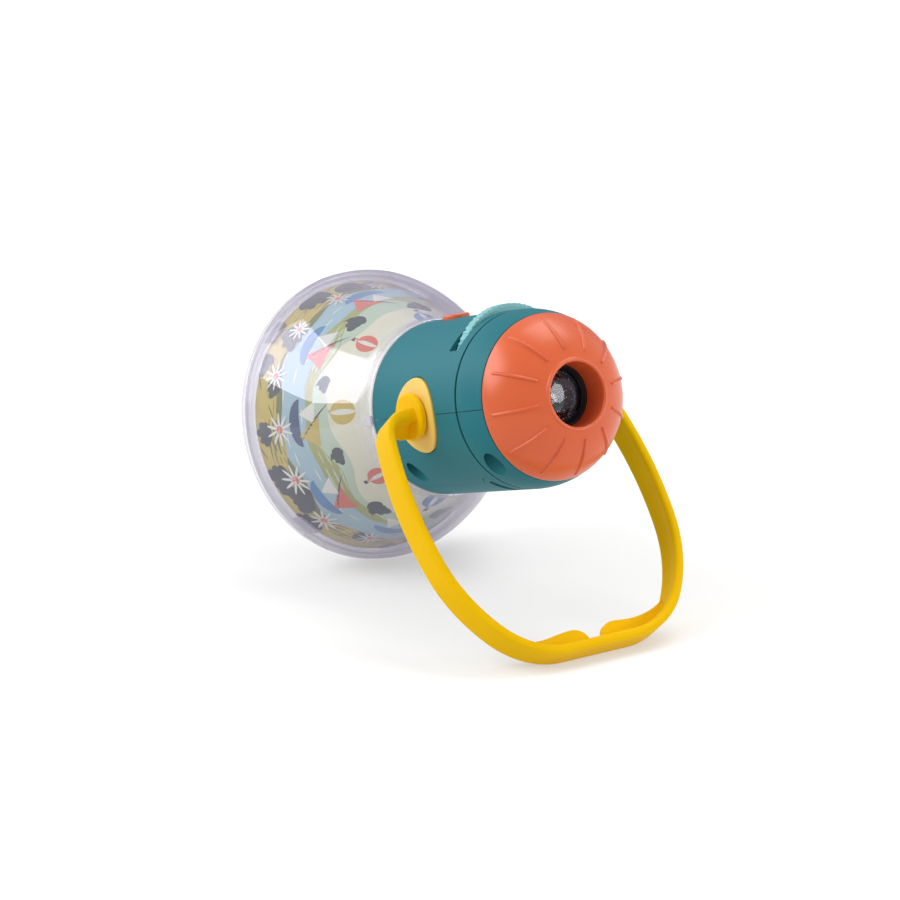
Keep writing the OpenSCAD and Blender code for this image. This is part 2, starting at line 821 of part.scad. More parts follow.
// Ear on the rear lip beside the hanging notch, from the notch to where the corner meets it
module ear(from) {
    top = bar_h - strap_t / 2 - ear_h;
    inner_r = foot_r - strap_t / 2;
    reach = bar_half + sqrt(pow(inner_r, 2) - pow(inner_r - ear_h, 2));
    end_h = ear_h * 0.7;
    steps = 8;
    end = [for (i = [0 : steps])
        let (a = 90 * i / steps)
        [from + ear_run * (1 - cos(a)), top + end_h * (1 - sin(a))]];
    edge = [for (i = [1 : steps])
        [from + ear_run + (reach - from - ear_run) * i / steps, top + ear_sag * sin(180 * i / steps)]];
    translate([0, 0, strap_w / 2 - lip_w])
        linear_extrude(height = lip_w - strap_round / 8)
            intersection() {
                polygon(concat([[from, bar_h]], end, edge, [[reach + strap_t, top], [reach + strap_t, bar_h]]));
                union() {
                    square([bar_half, bar_h]);
                    translate([bar_half, bar_h - foot_r])
                        circle(r = foot_r, $fn = 180);
                }
            }
}

module handle() {
    color([0.95, 0.76, 0.06]) stand()
        translate([0, 0, pivot_z])
            rotate([180 - handle_lean, 0, 0]) {
                strap();
                for (side = [0, 1])
                    mirror([side, 0, 0]) {
                        ear(notch_w / 2 + (1 - 2 * side) * notch_x);
                        bar_x(flange_r, flange_x, flange_x + flange_t);
                        bar_x(pivot_pin_r, pin_head_x - pin_head_t, flange_x + cut);
                        bar_x(pin_head_r, pin_head_x - pin_head_t, pin_head_x);
                    }
            }
}

module friction_ring(side) {
    x0 = pivot_boss_x - friction_t - seat_gap / 2;
    color([0.12, 0.12, 0.13]) stand()
        translate([0, 0, pivot_z])
            difference() {
                bar_x(pin_head_r, side < 0 ? -x0 - friction_t : x0, side < 0 ? -x0 : x0 + friction_t);
                bar_x(pivot_pin_r + run_fit, -body_r, body_r);
            }
}
module left_friction_ring() {
    friction_ring(-1);
}
module right_friction_ring() {
    friction_ring(1);
}

// Focus ring and lens

// Slot for a cam pin: a band of the sleeve's wall along a helix, square where it ends past the pin
module cam_slot(w, r0, r1) {
    steps = 20;
    reach = focus_turn / 2 + asin(w / hole_r);
    function turn(i) = reach * (2 * i / steps - 1);
    function rise(i) = cam_pin_z - focus_travel * turn(i) / focus_turn;
    points = [for (i = [0 : steps], q = [[r0, -w], [r1, -w], [r1, w], [r0, w]])
        [q[0] * cos(turn(i)), q[0] * sin(turn(i)), rise(i) + q[1]]];
    quads = [for (i = [0 : steps - 1], k = [0 : 3])
        let (a = 4 * i + k, b = 4 * i + (k + 1) % 4)
        [a, b, b + 4, a + 4]];
    polyhedron(points, concat(
        [for (f = quads) [f[0], f[1], f[2]]], [for (f = quads) [f[0], f[2], f[3]]],
        [[3, 2, 1, 0]], [[for (k = [0 : 3]) 4 * steps + k]]));
}

// Points along the dome's oval, grown by a margin, from a height to a radius
function dome_points(margin, z, r, steps) =
    let (a = dome_a + margin, b = dome_b + margin, from = asin((z - dome_c) / b), to = acos(r / a))
    [for (i = [0 : steps])
        let (t = from + (to - from) * i / steps)
        [a * cos(t), dome_c + b * sin(t)]];

module focus_ring() {
    edge_z = ring_z + ring_edge_r;
    outside = dome_points(0, edge_z, lip_c_r, 18);
    inside = dome_points(-dome_wall, ring_z, sleeve_r - cut, 14);
    edge = corner_points(outside[0] - [ring_edge_r, 0], ring_edge_r, -90);
    color([0.87, 0.40, 0.25]) stand()
        difference() {
            union() {
                rotate_extrude() {
                    polygon(concat(edge, [for (i = [1 : len(outside) - 1]) outside[i]], reversed(inside)));
                    translate([lip_c_r, lip_z])
                        circle(r = lip_r);
                    translate([hole_r, collar_z])
                        square([cam_wall, lip_z - collar_z]);
                    translate([hole_r, collar_z])
                        square([collar_r - hole_r, collar_t]);
                }
                intersection() {
                    rotate_extrude()
                        intersection() {
                            polygon(concat(dome_points(rib_h, edge_z, rib_in_r - cut, 10),
                                reversed(dome_points(-dome_wall / 2, edge_z, rib_in_r - cut, 4))));
                            translate([rib_in_r, ring_z])
                                square([rib_out_r - rib_in_r, dome_b]);
                        }
                    for (i = [0 : rib_count - 1])
                        rotate([0, 0, 90 + rib_phase + i * 360 / rib_count])
                            box(0, dome_a, -rib_w / 2, rib_w / 2, ring_z, ring_z + dome_b);
                }
            }
            for (side = [0, 1])
                rotate([0, 0, 90 + side * 180])
                    cam_slot(cam_pin_r + run_fit, hole_r - cut, sleeve_r + cut);
        }
}

module lens_barrel() {
    color([0.05, 0.05, 0.06]) stand() {
        rotate_extrude()
            difference() {
                translate([lens_stop_r, barrel_back])
                    square([barrel_r - lens_stop_r, barrel_len]);
                translate([0, lens_stop_z])
                    square([lens_bore_r, barrel_front]);
            }
        for (side = [-1, 1]) {
            translate([0, 0, cam_pin_z])
                bar_y(cam_pin_r, side < 0 ? -cam_pin_tip : lens_bore_r + 0.6, side < 0 ? -lens_bore_r - 0.6 : cam_pin_tip);
            box(side < 0 ? -key_tip : barrel_r - cut, side < 0 ? -barrel_r + cut : key_tip,
                -key_w / 2, key_w / 2, barrel_back, barrel_back + key_len);
        }
    }
}

// A lens is the part that two balls share, trimmed to its rim
module focus_lens() {
    color([0.75, 0.85, 0.95, 0.4]) stand()
        rotate_extrude()
            intersection() {
                translate([0, lens_mid - lens_t / 2])
                    square([lens_r, lens_t]);
                translate([0, lens_mid - lens_t / 2 + lens_ball])
                    circle(r = lens_ball, $fn = 180);
                translate([0, lens_mid + lens_t / 2 - lens_ball])
                    circle(r = lens_ball, $fn = 180);
            }
}

module lens_retainer() {
    color([0.08, 0.08, 0.09]) stand()
        rotate_extrude()
            polygon([
                [retainer_in_r, retainer_z], [lens_r, retainer_z], [lens_r, retainer_front],
                [lens_r - 0.4, retainer_front], [retainer_in_r, retainer_z + 1]
            ]);
}

// Film disc and gate

// Places on the disc, one for each picture, at a radius from the disc's centre
module at_pictures(r) {
    for (i = [0 : pictures - 1])
        translate([0, picture_ring_r, 0])
            rotate([0, 0, i * 360 / pictures])
                translate([0, -r, 0])
                    children();
}

module film_disc() {
    color([0.55, 0.78, 0.80]) stand()
        difference() {
            translate([0, picture_ring_r, 0])
                bar_z(disc_r, disc_z, disc_z + disc_t);
            at_pictures(picture_ring_r) {
                bar_z(picture_r, disc_z - cut, disc_z + disc_t + cut);
                bar_z(film_seat_r, disc_z - cut, disc_z + film_seat_d);
            }
            at_pictures(detent_r)
                bar_z(detent_hole_r, disc_z + disc_t - detent_d, disc_z + disc_t + cut);
            for (i = [0 : knurls - 1])
                translate([0, picture_ring_r, 0])
                    rotate([0, 0, i * 360 / knurls])
                        translate([0, disc_r + 0.2, 0])
                            bar_z(0.7, disc_z - cut, disc_z + disc_t + cut, $fn = 24);
        }
}

module film_frames() {
    color([0.30, 0.34, 0.45, 0.8]) stand()
        at_pictures(picture_ring_r)
            bar_z(film_seat_r - run_fit, disc_z + film_seat_d - film_t - 0.05, disc_z + film_seat_d - 0.05);
}

// Half-round carrier of the disc, with the light apertures and the guide of the barrel
module film_gate() {
    detent_y = picture_ring_r;
    color([0.10, 0.10, 0.11]) stand()
        difference() {
            union() {
                intersection() {
                    translate([0, picture_ring_r, 0])
                        bar_z(pocket_r + gate_wall, gate_back, gate_front);
                    bar_z(in_r - seat_gap, gate_back, gate_front);
                    box(-body_r, body_r, board_bottom, gate_top, gate_back, gate_front);
                }
                bar_z(guide_r, gate_front - cut, guide_end);
                translate([detent_r, detent_y - detent_len(), 0])
                    bar_z(0.9, gate_front - cut, gate_front + 1.2);
            }
            translate([0, picture_ring_r, 0])
                bar_z(pocket_r, pocket_back, pocket_front);
            bar_z(aperture_r, gate_back - cut, gate_front + cut);
            bar_z(hole_r, gate_front, guide_end + cut);
            for (side = [-1, 1])
                box(side < 0 ? -guide_r - cut : hole_r - cut, side < 0 ? -hole_r + cut : guide_r + cut,
                    -key_w / 2 - seat_gap, key_w / 2 + seat_gap, gate_front, guide_end + cut);
            translate([detent_r, detent_y, 0])
                bar_z(detent_hole_r + seat_gap, pocket_front - cut, gate_front + cut);
        }
}
function detent_len() = 13;

// Leaf with a round nose that drops into the disc's dimples, staked to the gate at its lower end
module detent_spring() {
    leaf_w = 4.4;
    leaf_t = 0.4;
    color([0.75, 0.76, 0.78]) stand()
        difference() {
            union() {
                translate([detent_r, 0, gate_front + 0.05])
                    box(-leaf_w / 2, leaf_w / 2, picture_ring_r - detent_len() - 2, picture_ring_r + 1.6, 0, leaf_t);
                translate([detent_r, picture_ring_r, 0])
                    bar_z(detent_hole_r - 0.2, pocket_front - free_gap / 2, gate_front + 0.05 + leaf_t);
            }
            translate([detent_r, picture_ring_r - detent_len(), 0])
                bar_z(1, gate_front - cut, gate_front + 2);
        }
}

// Light source

module lamp_tube() {
    color([0.13, 0.13, 0.14]) stand()
        difference() {
            bar_z(tube_r, tube_back, tube_front);
            bar_z(tube_step_r, tube_back - cut, tube_front + cut);
            bar_z(tube_in_r, tube_back - cut, condenser_z - tube_step_t);
            bar_z(tube_in_r, condenser_z, tube_front + cut);
        }
}

module condenser_lens() {
    z0 = condenser_z + seat_gap / 2;
    color([0.80, 0.88, 0.95, 0.4]) stand()
        rotate_extrude()
            intersection() {
                translate([0, z0])
                    square([condenser_r, condenser_t]);
                translate([0, z0 + condenser_t - condenser_ball])
                    circle(r = condenser_ball, $fn = 180);
            }
}

module circuit_board() {
    color([0.10, 0.38, 0.22]) stand()
        intersection() {
            bar_z(board_r, board_z, board_z + board_t);
            box(-body_r, body_r, board_bottom, body_r, board_z, board_z + board_t);
        }
}

// Lamp with a rim at its foot and a domed end, standing on the board
module led() {
    rotate_extrude() {
        square([led_rim_r, led_rim_t]);
        square([led_r, led_len - led_r]);
        intersection() {
            translate([0, led_len - led_r])
                circle(r = led_r);
            square([led_r, led_len]);
        }
    }
}
module projection_led() {
    color([0.95, 0.96, 0.98, 0.7]) stand()
        translate([0, 0, board_z + board_t])
            led();
}
module night_light_led() {
    color([0.98, 0.93, 0.80, 0.7]) stand()
        translate([0, 0, board_z])
            mirror([0, 0, 1])
                led();
}

// Button and switch

module switch_body() {
    color([0.14, 0.14, 0.15]) stand()
        difference() {
            box(-switch_side / 2, switch_side / 2, switch_top - switch_h, switch_top,
                board_z - switch_side, board_z);
            translate([0, 0, button_z])
                bar_y(plunger_r + run_fit, switch_top - switch_h + 0.6, switch_top + cut);
        }
}
module switch_plunger() {
    color([0.85, 0.85, 0.82]) stand()
        translate([0, 0, button_z])
            bar_y(plunger_r, switch_top - 1.4, plunger_top);
}

module power_button() {
    cap_top = body_r + button_rise;
    crown = 0.8;
    color([0.90, 0.42, 0.26]) stand()
        translate([0, 0, button_z])
            rotate([-90, 0, 0])
                rotate_extrude() {
                    translate([0, button_flange_y])
                        square([button_r, cap_top - crown - button_flange_y]);
                    translate([0, cap_top - crown - cut])
                        square([button_r - crown, crown + cut]);
                    intersection() {
                        translate([button_r - crown, cap_top - crown])
                            circle(r = crown);
                        square([button_r, cap_top]);
                    }
                    translate([0, button_flange_y])
                        square([button_flange_r, button_flange_t]);
                    translate([0, button_flange_y - button_stem_len])
                        square([button_stem_r, button_stem_len + cut]);
                }
}

// Cells and contacts

// Place of a cell: 0 is the middle one, 1 and -1 the side ones
function cell_place(i) = [cell_ring * sin(i * cell_step), -cell_ring * cos(i * cell_step)];
// The side cells point forward and the middle one back
function cell_forward(i) = i != 0;

// Move children from a frame that starts at the positive contact and runs along the cell
module at_cell(i) {
    p = cell_place(i);
    translate([p[0], p[1], cell_forward(i) ? tray_front : tray_back])
        mirror([0, 0, cell_forward(i) ? 1 : 0])
            children();
}

module battery(i) {
    nub_r = 1.9;
    nub_h = 1.2;
    z0 = contact_t + seat_gap / 2;
    color([0.30, 0.31, 0.34]) stand()
        at_cell(i) {
            bar_z(nub_r, z0, z0 + nub_h + cut);
            bar_z(cell_r, z0 + nub_h, z0 + cell_len);
        }
}
module battery_left() {
    battery(-1);
}
module battery_middle() {
    battery(0);
}
module battery_right() {
    battery(1);
}

// Conical wire spring as one tube along a helix that narrows towards the cell
module coil(base_r, top_r, length, wire_r, turns) {
    sides = 6;
    rings = turns * 10;
    function spot(t) = let (r = base_r + (top_r - base_r) * t, a = 360 * turns * t)
        [r * cos(a), r * sin(a), wire_r + (length - 2 * wire_r) * t];
    points = [for (i = [0 : rings], k = [0 : sides - 1])
        let (t = i / rings, p = spot(t), a = 360 * turns * t, b = 360 * k / sides)
        p + wire_r * [cos(b) * cos(a), cos(b) * sin(a), sin(b)]];
    faces = [for (i = [0 : rings - 1], k = [0 : sides - 1])
        let (a = i * sides + k, b = i * sides + (k + 1) % sides)
        [a, b, b + sides, a + sides]];
    polyhedron(points, concat([for (f = faces) [f[0], f[1], f[2]]], [for (f = faces) [f[0], f[2], f[3]]],
        [[for (k = [sides - 1 : -1 : 0]) k]], [[for (k = [0 : sides - 1]) rings * sides + k]]));
}

module spring_contacts() {
    plate_half = 3.4;
    plate_t = 0.3;
    color([0.80, 0.80, 0.78]) stand()
        for (i = [-1 : 1])
            at_cell(i)
                translate([0, 0, contact_t + cell_len + spring_len + seat_gap])
                    mirror([0, 0, 1]) {
                        box(-plate_half, plate_half, -plate_half, plate_half, 0, plate_t);
                        translate([0, 0, plate_t - 0.1])
                            coil(2.9, 1.7, spring_len - plate_t, 0.3, 3);
                    }
}

module plate_contacts() {
    plate_half = 3.4;
    color([0.82, 0.80, 0.70]) stand()
        for (i = [-1 : 1])
            at_cell(i)
                box(-plate_half, plate_half, -plate_half, plate_half, 0, contact_t);
}

// A wire from each end of the row of cells, through the tray's roof and along to the board
module battery_leads() {
    start_y = cell_side_y + 3.4;
    color([0.70, 0.10, 0.10]) stand()
        for (side = [-1, 1]) {
            z = lead_z(side);
            end_z = side > 0 ? board_z + board_t + 0.05 : board_z - 0.05;
            translate([side * lead_x, 0, z])
                bar_y(lead_r, start_y, lead_y);
            translate([side * lead_x, lead_y, z])
                sphere(r = lead_r);
            translate([side * lead_x, lead_y, 0])
                bar_z(lead_r, min(z, end_z), max(z, end_z));
        }
}

// Battery door and screws

module battery_door() {
    tongue_x = 7;
    tongue_w = 5;
    tongue_len = 1.6;
    inset = 2;
    color([0.21, 0.46, 0.48]) stand()
        difference() {
            union() {
                intersection() {
                    below()
                        door_outline(0);
                    ring(door_in_r, body_r, 0, body_len);
                }
                intersection() {
                    for (side = [-1, 1]) {
                        x0 = side * tongue_x - tongue_w / 2;
                        z0 = door_front - door_ledge - 2;
                        box(x0, x0 + tongue_w, -body_r, -in_r / 2, z0, door_front - door_ledge - seat_gap);
                    }
                    ring(in_r - seat_gap - 0.8, door_in_r + cut, 0, body_len);
                }
                intersection() {
                    for (side = [-1, 1]) {
                        x0 = side * tongue_x - tongue_w / 2;
                        z0 = door_front - door_ledge - 2;
                        box(x0, x0 + tongue_w, -body_r, -in_r / 2, z0, door_front + tongue_len);
                    }
                    ring(in_r - seat_gap - 0.8, in_r - seat_gap, 0, body_len);
                }
            }
            intersection() {
                below()
                    translate([0, door_front - band_len / 2])
                        stadium(band_span - 2 * inset, band_len / 2 - inset);
                ring(body_r - 0.7, body_r + 1, 0, body_len);
            }
            translate([0, 0, door_screw_z]) {
                bar_y(door_head_r + seat_gap, -body_r - cut, -body_r + door_head_t);
                bar_y(door_screw_r + seat_gap, -body_r - cut, -in_r / 2);
            }
        }
}

// Round-headed screw pointing up, with a cross recess, from the seat of its head
module screw(head_r, head_t, shank_r, shank_len) {
    slot = shank_r * 0.5;
    difference() {
        union() {
            bar_y(head_r, -head_t, 0);
            bar_y(shank_r, -cut, shank_len);
        }
        for (a = [0, 90])
            rotate([0, a, 0])
                box(-head_r * 0.6, head_r * 0.6, -head_t - cut, -head_t / 2, -slot / 2, slot / 2);
    }
}

module door_screw() {
    color([0.62, 0.63, 0.65]) stand()
        translate([0, -body_r + door_head_t - 0.05, door_screw_z])
            screw(door_head_r, door_head_t - 0.1, door_screw_r, door_screw_len - door_head_t);
}

module shell_screws() {
    color([0.62, 0.63, 0.65]) stand()
        for (p = screw_places)
            translate([p[0], screw_seat_y - 0.05, p[1]])
                screw(screw_head_r, screw_head_t, screw_r, screw_len);
}

bell_shade();
picture_sleeve();
rear_cover();
light_diffuser();
upper_shell();
lower_shell();
left_pad();
right_pad();
handle();
left_friction_ring();
right_friction_ring();
focus_ring();
lens_barrel();
focus_lens();
lens_retainer();
film_disc();
film_frames();
film_gate();
detent_spring();
lamp_tube();
condenser_lens();
circuit_board();
projection_led();
night_light_led();
switch_body();
switch_plunger();
power_button();
battery_left();
battery_middle();
battery_right();
spring_contacts();
plate_contacts();
battery_leads();
battery_door();
door_screw();
shell_screws();
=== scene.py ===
# %% [markdown]
# A toy picture projector with a clear bell at the back, a round body, and a yellow handle that
# swings under it as a stand. The measured solids come in as the frame, and this lesson gives each
# piece its finished shape and surface. Sizes are in millimetres in the object's own frame: z runs
# forward along the lens axis from the neck of the bell, y is up and x is across.

# %% Load the frame
from math import acos, asin, atan2, cos, degrees, hypot, pi, radians, sin

import bmesh
import bpy
from mathutils import Matrix, Vector


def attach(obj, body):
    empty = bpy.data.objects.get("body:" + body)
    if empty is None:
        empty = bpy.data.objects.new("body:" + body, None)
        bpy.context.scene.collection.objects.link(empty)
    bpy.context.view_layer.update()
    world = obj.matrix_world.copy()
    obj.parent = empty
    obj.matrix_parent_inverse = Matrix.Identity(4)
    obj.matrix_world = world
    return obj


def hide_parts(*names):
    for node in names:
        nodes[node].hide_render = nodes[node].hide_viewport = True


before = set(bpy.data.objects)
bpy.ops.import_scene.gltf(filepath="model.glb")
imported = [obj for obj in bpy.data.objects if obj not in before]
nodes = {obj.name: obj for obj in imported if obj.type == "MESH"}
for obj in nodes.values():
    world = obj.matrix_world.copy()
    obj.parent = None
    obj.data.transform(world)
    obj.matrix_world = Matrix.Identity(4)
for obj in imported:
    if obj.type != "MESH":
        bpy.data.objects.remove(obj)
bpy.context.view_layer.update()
print("solids in the frame:", len(nodes))

# %% [markdown]
# The object rests on the rim of its bell and on the handle, so its axis is tilted. The pieces could
# be modelled tilted, but then no size would be easy to read. Instead each is drawn upright about
# the axis, and one matrix takes its points from the object's own millimetres to the room's metres.

# %% The stand
TILT, NECK_BACK, NECK_HIGH = 16.9118, 0.0136493, 0.0681721
STAND = (Matrix.Translation((0, NECK_BACK, NECK_HIGH))
         @ Matrix.Rotation(radians(90 - TILT), 4, "X")
         @ Matrix.Scale(0.001, 4))
PIVOT_Z, HANDLE_LEAN = 28.1, 26.4
HANDLE = (STAND @ Matrix.Translation((0, 0, PIVOT_Z))
          @ Matrix.Rotation(radians(180 - HANDLE_LEAN), 4, "X"))
print("lens axis points", (STAND.to_3x3() @ Vector((0, 0, 1))).normalized())

# %% [markdown]
# The camera stands to the left of the lens, a little above it and well back, as a product
# photographer's long lens does. It could be pushed about until the view looks right. But a circle
# seen from the side is an oval, so the outlines of the round pieces give its place exactly.

# %% Camera
CAMERA_PLACE, CAMERA_TURN = (-0.70666, -0.99591, 0.42844), (72.9983, -0.6506, -34.8655)
camera = bpy.data.objects.new("camera", bpy.data.cameras.new("camera"))
camera.data.sensor_width = 36
camera.data.lens = 140
camera.location = CAMERA_PLACE
camera.rotation_euler = [radians(angle) for angle in CAMERA_TURN]
bpy.context.scene.collection.objects.link(camera)
bpy.context.scene.camera = camera
bpy.context.scene.view_settings.view_transform = "Standard"
print("camera distance", round(camera.location.length, 3), "m")

# %% [markdown]
# A material is a graph of nodes. It could be wired by hand or written link by link, but both hide
# what it means. So one small class wraps a node's output: sums on it add Math nodes, and its node
# method adds any other node.


# %% Shader sums
class Flow:
    """One value that flows through the nodes of a material."""

    def __init__(self, tree, socket=None):
        self.tree = tree
        self.socket = socket

    def node(self, kind, settings=None, inputs=None, out=0):
        made = self.tree.nodes.new(kind)
        for name, value in (settings or {}).items():
            if name == "stops":
                while len(made.color_ramp.elements) < len(value):
                    made.color_ramp.elements.new(0.5)
                for stop, (place, colour) in zip(made.color_ramp.elements, value):
                    stop.position = place
                    stop.color = rgba(colour)
            else:
                setattr(made, name, value)
        for name, value in (inputs or {}).items():
            if isinstance(value, Flow):
                self.tree.links.new(value.socket, made.inputs[name])
            else:
                made.inputs[name].default_value = value
        return Flow(self.tree, made.outputs[out] if made.outputs else None)

    def sum(self, operation, first, second, clamp=False):
        return self.node("ShaderNodeMath", {"operation": operation, "use_clamp": clamp},
                         {0: first, 1: second})

    def __add__(self, other):
        return self.sum("ADD", self, other)

    def __sub__(self, other):
        return self.sum("SUBTRACT", self, other)

    def __rsub__(self, other):
        return self.sum("SUBTRACT", other, self)

    def __mul__(self, other):
        return self.sum("MULTIPLY", self, other)

    def __gt__(self, other):
        return self.sum("GREATER_THAN", self, other)

    __radd__ = __add__
    __rmul__ = __mul__


def rgba(colour):
    return (*colour, 1)


print("shader sums: + - * >")

# %% [markdown]
# Every finish starts from an empty graph, and most use the same two nodes: a noise, which gives
# soft random values at a scale, and a mix, which goes from one colour to another. Short helpers
# for these keep the finishes below readable.


# %% Helpers for finishes
def new_finish(name):
    """An empty material and the flow that starts its nodes."""
    material = bpy.data.materials.new(name)
    material.use_nodes = True
    material.node_tree.nodes.clear()
    return material, Flow(material.node_tree)


def places(start):
    """Object coordinates, which stay with the piece when it moves."""
    return start.node("ShaderNodeTexCoord", out="Object")


def surface(start, shader):
    start.node("ShaderNodeOutputMaterial", None, {"Surface": shader})


def noise(place, scale, detail, roughness=0.5):
    """Soft random values; a larger scale makes smaller spots."""
    return place.node("ShaderNodeTexNoise", None,
                      {"Vector": place, "Scale": scale, "Detail": detail, "Roughness": roughness})


def mix(share, first, second, blend="MIX"):
    """Goes from the first colour to the second as the share rises."""
    return share.node("ShaderNodeMix", {"data_type": "RGBA", "blend_type": blend},
                      {"Factor": share, 6: first, 7: second}, out=2)


def principled(start, **inputs):
    """The all-round shader; an underscore in a name stands for a space."""
    named = {key.replace("_", " "): value for key, value in inputs.items()}
    return start.node("ShaderNodeBsdfPrincipled", None, named)


print("finish helpers: 6")

# %% [markdown]
# Most of the object is moulded plastic with a fine satin skin. Seen close, such a skin has a
# tiny spark-eroded grain, slow changes in gloss, faint flow marks in the colour, and edges that
# handling has polished a little paler. A painted texture would need every piece unwrapped. Noise on
# Object coordinates needs no unwrapping and has the same scale on every piece, and a Bevel node
# finds the edges, which it also rounds for the light.


# %% Moulded plastic
def moulded(name, colour, gloss=0.42, grain=0.014, shade=0.06, wear=0.25, round_mm=0.25,
            grain_size=2600.0, ior=1.36):
    """Satin plastic: grain and round_mm are in millimetres, shade and wear are shares."""
    material, start = new_finish(name)
    place = places(start)
    slow = noise(place, 45.0, 3.0, 0.55)
    fine = noise(place, grain_size, 2.0, 0.6)
    rubbed = noise(place, 380.0, 4.0, 0.7)
    soft_edge = start.node("ShaderNodeBevel", {"samples": 6}, {"Radius": round_mm * 0.001})
    flat = start.node("ShaderNodeNewGeometry", out="Normal")
    match = start.node("ShaderNodeVectorMath", {"operation": "DOT_PRODUCT"},
                       {0: soft_edge, 1: flat}, out="Value")
    edge = start.sum("MULTIPLY", 1 - match, 6.0, clamp=True)
    worn = start.sum("MULTIPLY", edge * (rubbed * 1.6 - 0.25), wear, clamp=True)
    dark = rgba(c * (1 - shade) for c in colour)
    pale = rgba(min(1, c * (1 + shade)) for c in colour)
    rub = rgba(c + (0.9 - c) * 0.35 for c in colour)
    tint = mix(worn, mix(slow, dark, pale), rub)
    rough = slow * 0.10 + fine * 0.04 + (gloss - 0.07) - worn * 0.12
    bump = start.node("ShaderNodeBump", None, {"Strength": 1.0, "Distance": grain * 0.001,
                                               "Height": fine, "Normal": soft_edge})
    surface(start, principled(start, Base_Color=tint, Roughness=rough, Normal=bump, IOR=ior))
    return material


teal = moulded("teal plastic", (0.022, 0.180, 0.220), gloss=0.46, ior=1.2)
orange = moulded("orange plastic", (0.740, 0.122, 0.032), gloss=0.29, grain=0.006, ior=1.45)
yellow = moulded("yellow plastic", (0.920, 0.540, 0.0), gloss=0.46, ior=1.15)
pad_yellow = moulded("pale yellow plastic", (0.860, 0.575, 0.115), gloss=0.46)
light_teal = moulded("light teal plastic", (0.230, 0.560, 0.580), gloss=0.42)
black = moulded("black plastic", (0.006, 0.006, 0.008), gloss=0.34, wear=0.1)
cream = moulded("cream plastic", (0.740, 0.730, 0.660), gloss=0.5)
print("moulded finishes: 7")

# %% [markdown]
# The bell and its cover are clear plastic with a lilac cast. A glass shader would bend the light at
# each face, which a thin wall hardly does, so this wall is simply see-through. The cast is hardly
# there face on and deepens where the eye looks along the wall, because the light then crosses more
# plastic. Two Mix Shaders do that: the first lays a lilac body over a see-through one where the
# surface turns away, the second lays a polished skin over both. Gloss grows with the fifth power of
# that turn, which is the usual short form of the Fresnel law.


# %% Clear plastic
def clear(name, body, see_through, least, most, gloss=0.03):
    """Clear plastic: its cast goes from least, face on, towards most, where it turns away."""
    material, start = new_finish(name)
    place = places(start)
    haze = noise(place, 60.0, 3.0)
    fine = noise(place, 900.0, 2.0)
    turned = start.node("ShaderNodeLayerWeight", None, {"Blend": 0.5}, out="Facing")
    steep = turned * turned * turned
    mirror = steep * turned * turned * 0.75 + 0.07
    through = start.node("ShaderNodeBsdfTransparent", None, {"Color": rgba(see_through)})
    cast = principled(start, Base_Color=rgba(body), Roughness=fine * 0.2 + 0.4, IOR=1.2)
    skin = principled(start, Base_Color=rgba(1.2 * c for c in body), Metallic=1.0,
                      Roughness=fine * 0.005 + haze * 0.01 + gloss - 0.007)
    share = start.sum("ADD", steep * most, haze * 0.02 + (least - 0.01), clamp=True)
    wall = start.node("ShaderNodeMixShader", None, {0: share, 1: through, 2: cast})
    surface(start, start.node("ShaderNodeMixShader", None, {0: mirror, 1: wall, 2: skin}))
    return material


bell_clear = clear("clear lilac plastic", (0.50, 0.475, 0.57), (0.992, 0.990, 0.996), 0.010, 1.25)
bell_edge = clear("bell edge", (0.76, 0.74, 0.82), (0.97, 0.97, 0.98), 0.50, 0.3, gloss=0.06)
cover_clear = clear("clear cover plastic", (0.60, 0.58, 0.66), (0.985, 0.985, 0.99), 0.035, 0.55,
                    gloss=0.05)
print("clear finishes: 3")

# %% [markdown]
# The remaining finishes are for the works inside: plated steel with a fine brushed grain, lens
# glass with a few grains of dust, circuit board, rubber, film, resin and the jackets of cells and
# wires. Each could have a graph of its own. Most differ from the shell only in colour, gloss and
# grain, so they use the same function, and only metal and glass get theirs.


# %% Metal and glass
def plated(name, colour):
    """Brushed metal with duller stains."""
    material, start = new_finish(name)
    place = places(start)
    long = start.node("ShaderNodeMapping", None, {"Vector": place, "Scale": (1.0, 1.0, 0.06)})
    brush = noise(long, 5200.0, 3.0)
    stain = noise(place, 260.0, 4.0)
    tint = mix(stain, rgba(colour), rgba(c * 0.7 for c in colour))
    bump = start.node("ShaderNodeBump", None,
                      {"Strength": 0.5, "Distance": 0.00002, "Height": brush})
    surface(start, principled(start, Base_Color=tint, Metallic=1.0, Normal=bump,
                              Roughness=brush * 0.15 + stain * 0.15 + 0.15))
    return material


def glass(name, colour, specks):
    """Clear cast glass; specks is how plain the dust on it shows."""
    material, start = new_finish(name)
    place = places(start)
    cell = start.node("ShaderNodeTexVoronoi", None, {"Vector": place, "Scale": 900.0}, out="Distance")
    patch = noise(place, 420.0, 1.0)
    dust = start.sum("MULTIPLY", (0.25 - cell > 0.0) * (patch > 0.52), specks, clamp=True)
    smear = noise(place, 150.0, 2.0)
    polished = principled(start, Base_Color=rgba(colour), Roughness=smear * 0.03 + 0.005, IOR=1.53,
                          Transmission_Weight=1.0)
    grain = principled(start, Base_Color=(0.42, 0.52, 0.85, 1), Roughness=0.6)
    surface(start, start.node("ShaderNodeMixShader", None, {0: dust, 1: polished, 2: grain}))
    return material


